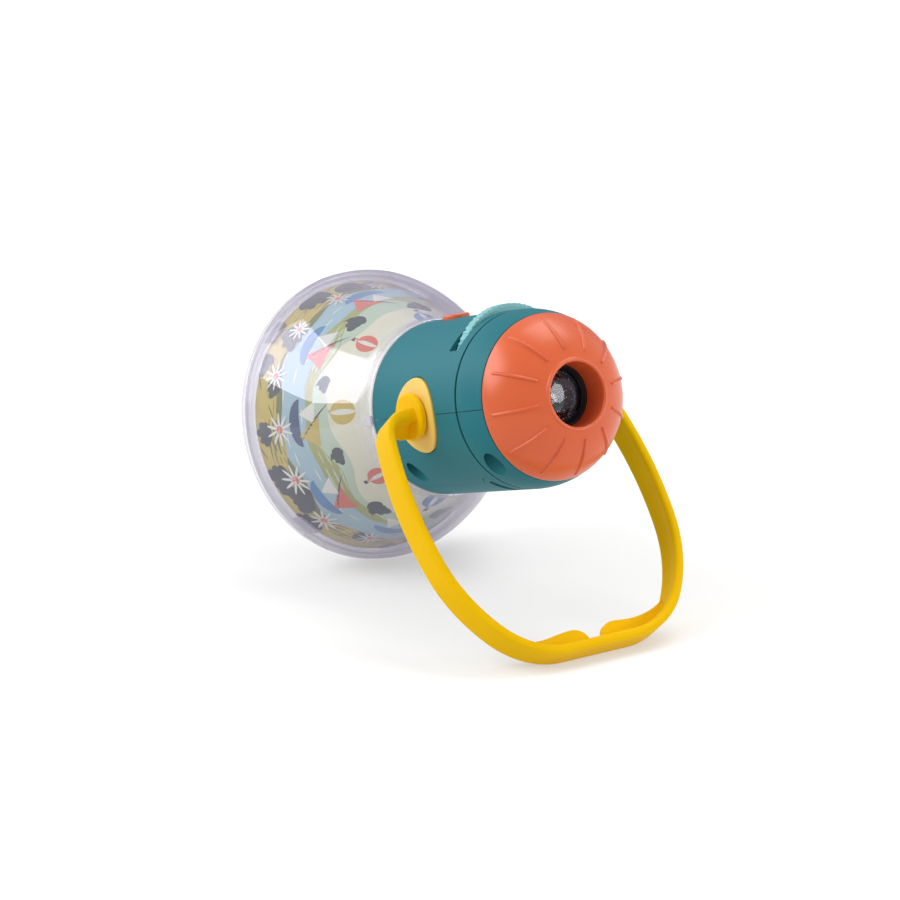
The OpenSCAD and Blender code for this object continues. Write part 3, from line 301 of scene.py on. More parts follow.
steel = plated("plated steel", (0.62, 0.63, 0.64))
lens_glass = glass("lens glass", (0.78, 0.86, 1.0), 0.7)
resin = glass("cast resin", (0.94, 0.95, 0.97), 0.0)
rubber = moulded("friction rubber", (0.030, 0.030, 0.030), gloss=0.75, grain=0.05, wear=0.1)
board = moulded("circuit board", (0.012, 0.130, 0.045), gloss=0.30, shade=0.25, grain_size=900.0)
film = moulded("picture film", (0.050, 0.060, 0.105), gloss=0.15, shade=0.6, grain=0.004)
jacket = moulded("cell jacket", (0.055, 0.058, 0.070), gloss=0.28, shade=0.15)
wire = moulded("wire jacket", (0.500, 0.025, 0.025), gloss=0.38)
frosted = moulded("frosted white", (0.860, 0.860, 0.840), gloss=0.55, grain=0.03)
print("inner finishes: 9")

# %% [markdown]
# Nearly every piece starts as a line. Its points could be listed, but a drawing gives lengths,
# radii and angles, and so does the pen below. It walks in a plane: a number goes straight on, and
# a pair of radius and angle bends the way, drawn by spinning the pen's own vertex. Spinning the
# finished line about the lens axis turns it into a round piece.


# %% Pen and lathe
def only(kind, geom):
    """The vertices or the edges of what an operator made."""
    return [item for item in geom if isinstance(item, kind)]


VERT, EDGE = bmesh.types.BMVert, bmesh.types.BMEdge


def sideways(heading):
    """One step to the left of a heading."""
    return Vector((-sin(radians(heading)), cos(radians(heading)), 0))


def trace(bm, start, heading, moves, per_step=5.0):
    """Walks from start and returns the last vertex. Angles are in degrees, left turns positive."""
    pen = bm.verts.new((*start, 0))
    for move in moves:
        if not isinstance(move, tuple):
            pen = bmesh.ops.extrude_vert_indiv(bm, verts=[pen])["verts"][0]
            pen.co += sideways(heading - 90) * move
            continue
        radius, bend = move
        if radius:
            middle = pen.co + sideways(heading) * (radius if bend > 0 else -radius)
            turned = bmesh.ops.spin(bm, geom=[pen], cent=middle, axis=(0, 0, 1), angle=radians(bend),
                                    steps=max(3, round(abs(bend) / per_step)))
            pen = only(VERT, turned["geom_last"])[0]
        heading += bend
    return pen


def lathe(bm, steps=160):
    """Stands the drawn lines up and spins them about the axis: x is the radius, y runs along z."""
    bmesh.ops.rotate(bm, verts=bm.verts, cent=(0, 0, 0), matrix=Matrix.Rotation(radians(90), 3, "X"))
    bmesh.ops.spin(bm, geom=bm.verts[:] + bm.edges[:], cent=(0, 0, 0), axis=(0, 0, 1), angle=2 * pi,
                   steps=steps, use_merge=True)


print("pen and lathe ready")

# %% [markdown]
# A few steps come back on most pieces: a bevel with its settings, a block with rounded edges, a
# part that joins a piece, and the finish. To finish a piece, doubles are merged, the faces are
# turned outwards, edges sharper than an angle are kept crisp, and the piece is tied to the body
# that it moves with. Its place goes into the mesh, so that the object itself stays at the origin.


# %% Blocks and placing
def bevel(bm, edges, offset, segments, clamp=False):
    bmesh.ops.bevel(bm, geom=edges, offset=offset, offset_type="OFFSET", affect="EDGES",
                    segments=segments, profile=0.5, material=-1, clamp_overlap=clamp)


def block(bm, place, size, offset, segments, finish_index=0):
    """A block with bevelled edges."""
    corners = bmesh.ops.create_cube(bm, size=1, matrix=place @ Matrix.Diagonal((*size, 1)))["verts"]
    for face in {f for v in corners for f in v.link_faces}:
        face.material_index = finish_index
    bevel(bm, list({e for v in corners for e in v.link_edges}), offset, segments)


def join(bm, part):
    """Moves a finished part mesh into a piece."""
    mesh = bpy.data.meshes.new("part")
    part.to_mesh(mesh)
    part.free()
    bm.from_mesh(mesh)
    bpy.data.meshes.remove(mesh)


def settle(bm, name, place, body, finish, slot, *stands_for, sharp=38):
    """Closes the mesh, puts it in place and ties it to a body."""
    bmesh.ops.remove_doubles(bm, verts=bm.verts, dist=0.0005)
    bmesh.ops.recalc_face_normals(bm, faces=bm.faces)
    bm.transform(place)
    for face in bm.faces:
        face.smooth = True
    for edge in bm.edges:
        edge.smooth = edge.calc_face_angle(0) < radians(sharp)
    mesh = bpy.data.meshes.new(name)
    bm.to_mesh(mesh)
    bm.free()
    piece = bpy.data.objects.new(name, mesh)
    bpy.context.scene.collection.objects.link(piece)
    mesh.materials.append(finish)
    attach(piece, body)
    if stands_for:
        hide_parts(*stands_for)
    print(name, len(mesh.polygons), "faces")
    return piece


print("placing ready")

# %% [markdown]
# The bell is one clear wall, 1.8 mm thick. A Solidify modifier could thicken a single surface, but
# the round rim, the ledge and the ring that snaps into the body are not all of one thickness. So
# one line runs down the outside from the neck to the rim and back along the inside, and one spin
# gives both faces. Where the wall ends, at the neck and at the rim, light leaves through the cut
# edge, so those faces take a milkier finish, as do the two small keys that sit at the body's seam.

# %% Bell
RIM_EDGE_Z, NECK_EDGE_Z, NECK_EDGE_R = -52.3, -1.25, 31.9
KEY_R, KEY_Z, KEY_SIZE = 32.45, -2.75, (1.3, 3.4, 4.7)
bm = bmesh.new()
trace(bm, (32.5, -0.1), -90, [
    1.6, (10.9, 33.5), 16.56, (83, -17.5), (20, -16), 2.23, (0.9, -180),
    2.23, (18.2, 16), (81.2, 17.5), 16.56, (12.7, -33.5), 0.6,
    (0, 90), 5.0, (0, -90), 1.0, (0, -90), 1.8, (0, 90), 2.7, (0, -90), 1.7, (0, -90),
    0.3, (0, 45), 1.7, (0, -90), 1.7, (0, 45), -0.004, (0, 90), 3.3], per_step=1.6)
lathe(bm, 192)
for face in bm.faces:
    middle = face.calc_center_median()
    at_neck = middle.z > NECK_EDGE_Z and middle.xy.length > NECK_EDGE_R
    face.material_index = int(middle.z < RIM_EDGE_Z or at_neck)
for side in (-1, 1):
    block(bm, Matrix.Translation((side * KEY_R, 0, KEY_Z)), KEY_SIZE, 0.25, 3, finish_index=1)
bell = settle(bm, "bell", STAND, "projector_body", bell_clear, "clear_plastic", "bell_shade")
bell.data.materials.append(bell_edge)

# %% [markdown]
# The cover snaps into the bell with four tabs, which show through the wall as milky patches. They
# could be cut out of a ring, but four thin blocks with bevelled edges, turned to their places on
# the rim, have the same shape and far fewer faces.

# %% Snap tabs
TAB_R, TAB_Z, TAB_SIZE = 51.45, -51.5, (0.96, 9.06, 6.66)
bm = bmesh.new()
for k in range(4):
    block(bm, Matrix.Rotation(radians(45 + 90 * k), 4, "Z") @ Matrix.Translation((TAB_R, 0, TAB_Z)),
          TAB_SIZE, 0.25, 3)
settle(bm, "snap_tabs", STAND, "projector_body", bell_edge, "clear_plastic")

# %% [markdown]
# The printed sheet lies just inside the bell: a cone that bulges slightly, and near the neck turns
# up along the bell's own fillet. One function bends a flat drawing on to it. A place is an angle
# round the axis and a distance from the rim, and shapes are drawn flat in millimetres round that
# place. The ink is matt, with the blots and the paper's tooth of a water-colour print.

# %% Sheet
RIM_Z, NECK_Z, RIM_R, NECK_R, BULGE = -51.5, -7.62, 50.7, 31.95, 1.4
SLANT = hypot(RIM_Z - NECK_Z, RIM_R - NECK_R)
FILLET_R, FILLET_X, FILLET_Z, FILLET_TURN = 12.95, 43.45, -1.7, 27.2
WHOLE = SLANT + FILLET_R * radians(FILLET_TURN)


def on_sheet(angle, rise, lift):
    if rise > SLANT:
        turn = max(0.0, radians(FILLET_TURN) - (rise - SLANT) / FILLET_R)
        r, z = FILLET_X - FILLET_R * cos(turn), FILLET_Z - FILLET_R * sin(turn)
    else:
        t = 1 - rise / SLANT
        r = NECK_R + (RIM_R - NECK_R) * t + BULGE * 4 * t * (1 - t)
        z = NECK_Z + (RIM_Z - NECK_Z) * t
    return Vector(((r + lift) * cos(angle), (r + lift) * sin(angle), z))


def sheet_radius(rise):
    return hypot(*on_sheet(0, rise, 0).xy)


sheet_print, start = new_finish("printed sheet")
place = places(start)
ink = start.node("ShaderNodeVertexColor", {"layer_name": "ink"}, out="Color")
wash = noise(place, 150.0, 5.0, 0.65)
blot = noise(place, 42.0, 3.0)
paper = noise(place, 1500.0, 2.0)
water = mix(wash * 0.5, ink, (0.72, 0.76, 0.70, 1), "MULTIPLY")
dried = mix(blot * 0.35, water, (0.92, 0.90, 0.70, 1), "MULTIPLY")
washed = mix(paper * 0.08, dried, (0.80, 0.79, 0.68, 1))
bump = start.node("ShaderNodeBump", None, {"Strength": 0.4, "Distance": 0.00003, "Height": paper})
surface(start, principled(start, Base_Color=washed, Roughness=paper * 0.15 + 0.5, Normal=bump))
print("sheet from rim to neck", round(WHOLE, 1), "mm")

# %% [markdown]
# The picture is a made-up bay for a child's room: mustard fields with flowers and dark bushes by
# the rim, a pale blue bay with sailing boats, green hills, and a cream sky with balloons. An image
# could be wrapped round, but shapes of its own stay sharp at any size. Each face carries its ink as a
# colour attribute, and each layer of ink lies a hair above the last.

# %% Inks
CREAM, PALE, MINT = (0.94, 0.93, 0.76), (0.95, 0.96, 0.90), (0.62, 0.78, 0.62)
MUSTARD, OLIVE, LIME = (0.68, 0.54, 0.105), (0.190, 0.200, 0.055), (0.46, 0.48, 0.14)
SLATE, BARK = (0.020, 0.046, 0.046), (0.085, 0.040, 0.035)
WATER, BLUE, NAVY = (0.42, 0.64, 0.76), (0.085, 0.270, 0.58), (0.030, 0.080, 0.190)
CORAL, WHITE = (0.84, 0.190, 0.120), (0.95, 0.95, 0.92)
INK_LIFT, LAYER_LIFT = 0.04, 0.0008
picture = bmesh.new()
picture.loops.layers.float_color.new("ink")
layers = 0


def paint(part, colour, bend):
    """Inks a flat shape, bends it on to the sheet and adds it to the picture."""
    global layers
    layers += 1
    part_ink = part.loops.layers.float_color.new("ink")
    for face in part.faces:
        for corner in face.loops:
            corner[part_ink] = rgba(colour)
    for v in part.verts:
        angle, rise = bend(v.co)
        v.co = on_sheet(angle, max(0.0, rise), INK_LIFT + LAYER_LIFT * layers)
    join(picture, part)


print("inks: 13")

# %% [markdown]
# Two stamps make every shape. A disc with few sides is a diamond or a triangle, and stretched it is
# a leaf or a mast. A strip with a wavy edge is a field or a hill. Both are cut into small faces, so
# that they bend with the sheet and don't sink into it.


# %% Stamps
def dot(size, colour, angle, rise, sides=20, turn=0.0, scale=(1, 1), flat_top=False):
    """A disc, or with few sides a diamond or triangle, stretched and turned, or cut flat on top."""
    part = bmesh.new()
    bmesh.ops.create_circle(part, cap_ends=True, cap_tris=True, segments=sides, radius=size)
    cuts = int(size * max(scale) / 1.6)
    if cuts:
        bmesh.ops.subdivide_edges(part, edges=part.edges[:], cuts=cuts, use_grid_fill=True)
    spin = Matrix.Rotation(radians(turn), 2)

    def bend(co):
        high = min(co.y, 0) if flat_top else co.y
        flat = spin @ Vector((co.x * scale[0], high * scale[1]))
        return radians(angle) + flat.x / sheet_radius(rise), rise + flat.y

    paint(part, colour, bend)


def band(colour, low, high, wave=lambda a: 0.0):
    """A strip right round the sheet; its upper edge follows a wave."""
    part = bmesh.new()
    rows = max(4, int((high - low) / 1.8))
    bmesh.ops.create_grid(part, x_segments=240, y_segments=rows, size=0.5)

    def bend(co):
        angle = (co.x + 0.5) * 2 * pi
        return angle, low + (high + wave(angle) - low) * (co.y + 0.5)

    paint(part, colour, bend)


def beside(angle, rise, across):
    """The angle of a place that many millimetres along from another."""
    return angle + degrees(across / sheet_radius(rise))


print("stamps: 2")

# %% [markdown]
# Each motif is a few stamps, as in a potato print: a boat is a half hull with two sails, a balloon
# is an oval with a stripe and a basket, a bush is a cluster of discs, and a flower is a wheel of
# petals.


# %% Motifs
def boat(angle, rise, sail, hull, size=1.0):
    dot(4.9 * size, hull, angle, rise + 1.4 * size, 24, 0, (1.25, 0.66), True)
    dot(3.4 * size, BARK, angle, rise + 5.6 * size, 4, 45, (0.10, 2.1))
    dot(5.2 * size, sail, beside(angle, rise, 2.9 * size), rise + 5.0 * size, 3, 60, (0.75, 0.95))
    dot(3.9 * size, WHITE, beside(angle, rise, -2.5 * size), rise + 4.6 * size, 3, 60, (0.8, 0.9))


def balloon(angle, rise, colour, size=1.0):
    dot(4.6 * size, colour, angle, rise, 28, 0, (0.95, 1.08))
    dot(4.6 * size, WHITE, angle, rise, 28, 0, (0.22, 1.07))
    dot(2.3 * size, colour, angle, rise - 4.2 * size, 3, -90, (1.0, 0.8))
    dot(1.3 * size, BARK, angle, rise - 7.0 * size, 4, 45, (1.1, 0.9))


def bush(angle, rise, size=1.0, turn=0):
    for k in range(6):
        a = radians(60 * k + turn)
        dot((2.0 + 0.6 * sin(3 * k + turn)) * size, SLATE, beside(angle, rise, 3.0 * size * cos(a)),
            rise + 2.1 * size * sin(a), 14, 30 * k, (1.25, 0.85))
    dot(2.4 * size, SLATE, angle, rise, 14)


def tree(angle, rise, size=1.0):
    dot(2.6 * size, BARK, angle, rise - 3.6 * size, 4, 45, (0.22, 1.4))
    bush(angle, rise, size, 20)


def flower(angle, rise, size=1.0):
    for k in range(10):
        a = 36 * k
        dot(1.9 * size, WHITE, beside(angle, rise, 1.9 * size * cos(radians(a))),
            rise + 1.9 * size * sin(radians(a)), 10, a, (1.0, 0.17))
    dot(0.9 * size, CORAL, angle, rise, 12)


print("motifs: 5")

# %% [markdown]
# The picture is laid down from the neck to the rim, far things first, so that near things cover
# them. Every repeat is moved by a sine of its number. That looks as uneven as a hand drawing and
# comes out the same each time, which random numbers without a seed would not.

# %% Picture
SAILS, HULLS, BALLOONS = (CORAL, MUSTARD, CORAL), (BLUE, NAVY, BLUE), (CORAL, BLUE, CORAL, MUSTARD)
band(CREAM, 0.0, WHOLE)
band(PALE, 41, WHOLE - 0.4)
band(CREAM, 40, 43, lambda a: 1.6 * sin(4 * a + 1))
for k in range(8):
    balloon(k * 45 + 38, 42.5 + 2.5 * sin(k * 1.7), BALLOONS[k % 4], 0.95 + 0.15 * sin(k * 2.9))
band(MINT, 24, 34, lambda a: 3.0 * sin(4 * a + 0.4) + 1.2 * sin(9 * a + 1))
band(LIME, 22, 29, lambda a: 2.6 * sin(5 * a + 2.2) + 1.0 * sin(11 * a))
for k in range(9):
    tree(k * 40 + 37, 32.0 + 2.0 * sin(k * 2.0), 0.80 + 0.2 * sin(k * 1.4))
band(WATER, 11, 24.0, lambda a: 0.6 * sin(13 * a))
for k in range(36):
    dot(2.2, WHITE, k * 10.0 + 4, 17.5 + 5.0 * sin(2.3 * k), 12, 0, (1.4, 0.12))
for k in range(9):
    boat(k * 40 + 17, 18.2 + 1.6 * sin(k * 2.2), SAILS[k % 3], HULLS[k % 3], 1.45)
band(OLIVE, 5, 12.6, lambda a: 1.6 * sin(9 * a + 0.6) + 0.9 * sin(4 * a))
band(MUSTARD, 0.0, 10.8, lambda a: 1.5 * sin(6 * a + 1.2) + 0.8 * sin(14 * a))
for k in range(72):
    dot(1.5, (OLIVE, LIME)[k % 2], k * 5 + 2.5 * sin(k * 1.3), 5.0 + 3.8 * sin(k * 2.1), 10, 25,
        (1.9, 0.22))
for k in range(22):
    bush(k * 16.4 + 4 * sin(k * 1.7), 5.6 + 4.2 * sin(k * 2.6), 1.05 + 0.3 * sin(k * 1.1), 40 * k)
for k in range(15):
    flower(k * 24 + 11, 10.6 + 1.8 * sin(k * 1.9), 1.5 + 0.25 * sin(k))
settle(picture, "picture", STAND, "projector_body", sheet_print, "printed_sheet")

# %% [markdown]
# Under the ink is the sheet itself. The same curve gives its outside, moved in by its thickness it
# gives the inside, and the closed line is spun like the bell.

# %% Sheet body
SHEET_THICK = 0.6
bm = bmesh.new()
outside = [on_sheet(0, WHOLE * k / 30, 0) for k in range(31)]
line = [bm.verts.new((p.x, p.z, 0)) for p in outside]
line += [bm.verts.new((p.x - SHEET_THICK, p.z, 0)) for p in reversed(outside)]
for first, second in zip(line, line[1:] + line[:1]):
    bm.edges.new((first, second))
lathe(bm, 160)
settle(bm, "sheet", STAND, "projector_body", frosted, "printed_sheet", "picture_sleeve")

# %% [markdown]
# Each side of the body has an oval pad that the handle turns on. It could be cut from the body with
# a Boolean, but the cut would leave ragged edges to bevel. So it starts as a flat ring between an
# oval and the pivot hole, gets its thickness by an extrusion and a rounded edge by a bevel, and is
# then wrapped round the body, so that it stands 0.7 mm proud everywhere.

# %% Side pads
PAD_ALONG, PAD_UP, PAD_THICK, PAD_FOOT_R = 11.95, 13.45, 1.5, 31.2
PIVOT_HOLE, BODY_R = 4.2, 32.0


def side_pad(side, name):
    bm = bmesh.new()
    oval = bmesh.ops.create_circle(bm, segments=96, radius=1)["verts"]
    bmesh.ops.create_circle(bm, segments=96, radius=PIVOT_HOLE)
    bmesh.ops.scale(bm, vec=(PAD_ALONG, PAD_UP, 1), verts=oval)
    bridged = bmesh.ops.bridge_loops(bm, edges=bm.edges[:])
    rays = [e for e in bridged["edges"] if e.is_valid]
    bmesh.ops.subdivide_edges(bm, edges=rays, cuts=5, use_grid_fill=True)
    top = only(VERT, bmesh.ops.extrude_face_region(bm, geom=bm.faces[:])["geom"])
    bmesh.ops.translate(bm, vec=(0, 0, PAD_THICK), verts=top)
    bmesh.ops.recalc_face_normals(bm, faces=bm.faces)
    rim = [e for e in bm.edges
           if all(v.co.z > PAD_THICK - 0.1 for v in e.verts) and e.calc_face_angle(0) > 1]
    bevel(bm, rim, 0.55, 4, clamp=True)
    for v in bm.verts:
        along, up, out = v.co
        turn = asin(up / BODY_R)
        reach = PAD_FOOT_R + out
        v.co = (side * reach * cos(turn), reach * sin(turn), PIVOT_Z + along)
    settle(bm, name + "_oval", STAND, "projector_body", pad_yellow, "pale_yellow_plastic", name)


side_pad(-1, "left_pad")
side_pad(1, "right_pad")

# %% [markdown]
# The handle is one yellow loop of hollowed strap, swung on two flanged pins. A curve with a bevel
# profile would twist a little in the bends, so the pen draws the section once, with its round
# outer corners and the shallow hollow of its inner face, and the section is spun about the centre
# of each bend in turn, from the flange to the middle of the bar.

# %% Handle strap
STRAP_X, STRAP_HALF, BEND_X = 34.6, 1.8, 38.3
HOLLOW_R, HOLLOW_TURN = 12.2, 20.9
BENDS = ((10.2, 77.3, 24), (144, 20, 16), (59, 31.4, 16), (30.6, 51.3, 24))
loop = bmesh.new()
trace(loop, (STRAP_HALF, 0), 90, [
    4.1, (1.3, 90), 1.8, (0.5, 90), (0, HOLLOW_TURN), (HOLLOW_R, -2 * HOLLOW_TURN), (0, HOLLOW_TURN),
    (1.6, 90), 0.7, (1.3, 90), 4.1044], per_step=7)
bmesh.ops.remove_doubles(loop, verts=loop.verts, dist=0.001)
loop.transform(Matrix(((0, 0, -1, STRAP_X), (-1, 0, 0, 0), (0, 1, 0, 0), (0, 0, 0, 1))))
front = loop.edges[:]
bmesh.ops.edgeloop_fill(loop, edges=front)


def carry_on(edges, by):
    made = bmesh.ops.extrude_edge_only(loop, edges=edges)["geom"]
    bmesh.ops.translate(loop, vec=by, verts=only(VERT, made))
    return only(EDGE, made)


front = carry_on(front, (BEND_X - STRAP_X, 0, 0))
pen, heading = Vector((BEND_X, 0, 0)), 0.0
for radius, bend, steps in BENDS:
    middle = pen + sideways(heading) * radius
    turned = bmesh.ops.spin(loop, geom=front, cent=middle, axis=(0, 0, 1), angle=radians(bend),
                            steps=steps)
    front = only(EDGE, turned["geom_last"])
    pen = middle + Matrix.Rotation(radians(bend), 3, "Z") @ (pen - middle)
    heading += bend
BAR_H, BAR_HALF = pen.y, pen.x
print("bar at", round(BAR_H, 2), "half length", round(BAR_HALF, 2))

# %% [markdown]
# At the root the moulding is stiffer: its two edges deepen towards the flange, the rear one more.
# Another section could be blended in there. Moving the inner points of the first bend, less and
# less along the way, does the same and leaves the mesh as it is. A mirror then makes the other half.

# %% Handle root
ROOT_R, LAST_R = BENDS[0][0], BENDS[-1][0]
ROOT_FRONT, ROOT_REAR, ROOT_TURN, ROOT_TOP = 1.2, 3.1, 62.0, 12


def smooth(t):
    return t * t * (3 - 2 * t)


for v in loop.verts:
    if v.co.x <= BEND_X:
        out, turn = -v.co.y, 0.0
    else:
        arm = Vector((v.co.x - BEND_X, v.co.y - ROOT_R))
        out, turn = arm.length - ROOT_R, degrees(atan2(arm.x, -arm.y))
    if out < -0.45 and turn < ROOT_TURN and v.co.y < ROOT_TOP:
        across = smooth(min(1, max(0, (v.co.z + 4) / 8)))
        most = ROOT_FRONT + (ROOT_REAR - ROOT_FRONT) * across
        deeper = (out + 0.4) * most * (1 - smooth(turn / ROOT_TURN))
        v.co += sideways(turn + 180) * deeper
carry_on(front, (-BAR_HALF, 0, 0))
bmesh.ops.mirror(loop, geom=loop.verts[:] + loop.edges[:] + loop.faces[:], axis="X", merge_dist=0.002)
print("strap", len(loop.faces), "faces")

# %% [markdown]
# Each end of the strap is a round flange on a pin that snaps into the body. Both are turned on the
# lathe like any round piece and laid over on their side.

# %% Flanges and pins
FLANGE_X, FLANGE = 33.0, [8.0, (0.6, 90), 0.7, (0.9, 90), 7.7]
PIN_X, PIN = 33.4, [3.9, (0, -90), 3.6, (0, -90), 3.9]
for side in (-1, 1):
    for start_x, moves in ((FLANGE_X, FLANGE), (PIN_X, PIN)):
        part = bmesh.new()
        trace(part, (0, start_x), 0, moves, per_step=15)
        lathe(part, 64)
        part.transform(Matrix.Rotation(radians(side * 90), 4, "Y"))
        join(loop, part)
print("flanges and pins: 4")

# %% [markdown]
# Two ears rise from the rear lip of the bar beside a notch, from which the toy can hang. Their
# outline is rounded at the notch's edge and slopes off along the inside of the bend. The pen only
# knows lines and arcs, so this line is worked out: along the bar first, and then round the bend.

# %% Outline of the ears
INNER_R, BEND_H = LAST_R - STRAP_HALF, BAR_H - LAST_R
EAR_HIGH, EAR_RUN, EAR_TURN, EAR_ROUND = 6.8, 6.0, 50, 4.76
EAR_Z, EAR_THICK, EAR_STEPS = 3.0, 2.24, 18
NOTCH_X, NOTCH_HALF = 3.0, 3.0


def round_bend(radius, angle, way):
    """A place on the bar's last bend, at a radius and an angle from the bar's end."""
    return way * (BAR_HALF + radius * sin(angle)), BEND_H + radius * cos(angle)


def ear_line(edge, way):
    """The outline: up the notch's edge, down the slope, and back inside the strap."""
    top = BAR_H - STRAP_HALF - EAR_HIGH
    line = [(edge, BAR_H - 1.0)]
    for a in range(0, 91, 10):
        line.append((edge + way * EAR_RUN * (1 - cos(radians(a))),
                     top + EAR_ROUND * (1 - sin(radians(a)))))
    begin = abs(edge + way * EAR_RUN)
    straight = BAR_HALF - begin
    whole = straight + INNER_R * radians(EAR_TURN)
    for k in range(1, EAR_STEPS + 1):
        along, high = whole * k / EAR_STEPS, EAR_HIGH * (1 - (k / EAR_STEPS) ** 1.6)
        if along > straight:
            line.append(round_bend(INNER_R - high, (along - straight) / INNER_R, way))
        else:
            line.append((way * (begin + along), BEND_H + INNER_R - high))
    return line + [round_bend(INNER_R + 0.9, radians(a), way) for a in range(EAR_TURN - 2, -1, -4)]


print("ear outline", len(ear_line(NOTCH_X + NOTCH_HALF, 1)), "points")

# %% [markdown]
# An ear is that outline filled, extruded to its thickness and bevelled along its crest. The bevel
# takes only the sharp edges that stand clear of the strap, because the foot is inside it.


# %% Ears
def stands(v):
    """How far a point stands above the strap's inner face."""
    return INNER_R - hypot(max(0, abs(v.co.x) - BAR_HALF), v.co.y - BEND_H)


for edge, way in ((NOTCH_X + NOTCH_HALF, 1), (NOTCH_X - NOTCH_HALF, -1)):
    ear = bmesh.new()
    ear.faces.new([ear.verts.new((x, h, EAR_Z)) for x, h in ear_line(edge, way)])
    raised = only(VERT, bmesh.ops.extrude_face_region(ear, geom=ear.faces[:])["geom"])
    bmesh.ops.translate(ear, vec=(0, 0, EAR_THICK), verts=raised)
    bmesh.ops.recalc_face_normals(ear, faces=ear.faces)
    crest = [e for e in ear.edges
             if e.calc_face_angle(0) > 1.2 and all(stands(v) > 0.9 for v in e.verts)]
    bevel(ear, crest, 0.5, 3, clamp=True)
    join(loop, ear)
settle(loop, "carrying_loop", HANDLE, "carry_handle", yellow, "yellow_plastic", "handle")

# %% [markdown]
# The focus ring is an orange dome with a hole in the middle. A sphere with its pole cut off would be
# too round. Its side follows an oval, which is an arc spun on a unit circle and then stretched.

# %% Oval of the dome
DOME_A, DOME_B, DOME_Z, RING_Z = 30.5, 22.9, 62.1, 67.12
RING_WALL, RING_ROUND, LIP_R, INSIDE_R = 2.0, 0.6, 13.1, 14.45


def dome_point(radius):
    t = acos(radius / DOME_A)
    return radius, DOME_Z + DOME_B * sin(t), t


def oval_arc(bm, margin, from_angle, to_angle, steps):
    pen = bm.verts.new((cos(from_angle), sin(from_angle), 0))
    bmesh.ops.spin(bm, geom=[pen], cent=(0, 0, 0), axis=(0, 0, 1), angle=to_angle - from_angle,
                   steps=steps)
    arc = [v for v in bm.verts if abs(v.co.length - 1) < 1e-5]
    bmesh.ops.scale(bm, vec=(DOME_A + margin, DOME_B + margin, 1), verts=arc)
    bmesh.ops.translate(bm, vec=(0, DOME_Z, 0), verts=arc)
    ends = sorted(arc, key=lambda v: v.co.y)
    return ends[0], ends[-1]


print("dome reaches", DOME_Z + DOME_B, "mm along the axis")

# %% [markdown]
# Two such arcs, one for the outside and one for the inside, are joined at the back by a small round
# edge. In front, the lip round the hole is a bead, and the wall behind it runs down to the cam sleeve
# that carries the lens in and out. All that is one closed line, and one spin makes the ring.

# %% Focus ring
bm = bmesh.new()
outer_low, outer_high = oval_arc(bm, 0, asin((RING_Z + RING_ROUND - DOME_Z) / DOME_B),
                                 acos(LIP_R / DOME_A), 40)
inner_low, inner_high = oval_arc(bm, -RING_WALL, asin((RING_Z - DOME_Z) / (DOME_B - RING_WALL)),
                                 acos(INSIDE_R / (DOME_A - RING_WALL)), 28)
edge_end = trace(bm, (outer_low.co.x - RING_ROUND, RING_Z), 0, [(RING_ROUND, 90)], per_step=15)
base = [v for v in bm.verts if abs(v.co.y - RING_Z) < 1e-4 and v is not inner_low][0]
bm.edges.new((base, inner_low))
bm.edges.new((edge_end, outer_low))
lip_start = Vector((LIP_R - 0.02, dome_point(LIP_R)[1], 0))
lip = trace(bm, lip_start.xy, 102, [
    (0.86, 168), (0, -1.6), 9.0, (0, 1.6), 4.2, (0, 90), 7.0, (0, 90), 1.4, (0, 90), 3.7, (0, -90)],
    per_step=8)
lip_first = min(bm.verts, key=lambda v: (v.co - lip_start).length)
bm.edges.new((outer_high, lip_first))
bm.edges.new((lip, inner_high))
lathe(bm, 192)
print("lip at", round(lip_start.y, 2), "mm along the axis")

# %% [markdown]
# Twelve raised ribs give the fingers a hold. A bump in the material would vanish at the dome's
# outline, so they are shapes. Each starts as a ball that is drawn apart into a long round-ended bar,
# gets cuts along its length, and is then bent on to the oval of the dome. Towards the dome's edge it
# gets lower.

# %% Grip ribs
RIB_OUT, RIB_IN, RIB_HALF, FIRST_RIB = 28.5, 15.9, 0.62, 95
RIB_LONG = RIB_OUT - RIB_IN
for k in range(12):
    rib = bmesh.new()
    bmesh.ops.create_uvsphere(rib, u_segments=12, v_segments=8, radius=RIB_HALF,
                              matrix=Matrix.Rotation(radians(90), 4, "Y"))
    for v in rib.verts:
        if abs(v.co.x) > 0.01:
            v.co.x += (RIB_LONG / 2 - RIB_HALF) * (1 if v.co.x > 0 else -1)
    long_edges = [e for e in rib.edges if e.calc_length() > 2]
    bmesh.ops.subdivide_edges(rib, edges=long_edges, cuts=8, use_grid_fill=True)
    around = Matrix.Rotation(radians(FIRST_RIB + 30 * k), 3, "Z")
    for v in rib.verts:
        radius, height, t = dome_point((RIB_OUT + RIB_IN) / 2 + v.co.x)
        slope = Vector((cos(t) / DOME_A, 0, sin(t) / DOME_B)).normalized()
        proud = 1.4 - 0.6 * max(0, 2 * v.co.x / RIB_LONG)
        v.co = around @ (Vector((radius, v.co.y, height)) + slope * v.co.z * proud)
    join(bm, rib)
settle(bm, "dome_ring", STAND, "focus_turner", orange, "orange_plastic", "focus_ring")

# %% [markdown]
# The lens sits in a black tube that slides inside the ring. The tube is one line spun round: a thin
# wall with a fine thread inside its mouth, which stops stray light, and a ledge for the lens. The
# thread could be a true helix, but at this size rings look the same and close by themselves. Two
# keys and two cam pins, which make the tube slide without turning, are bevelled blocks and pegs.

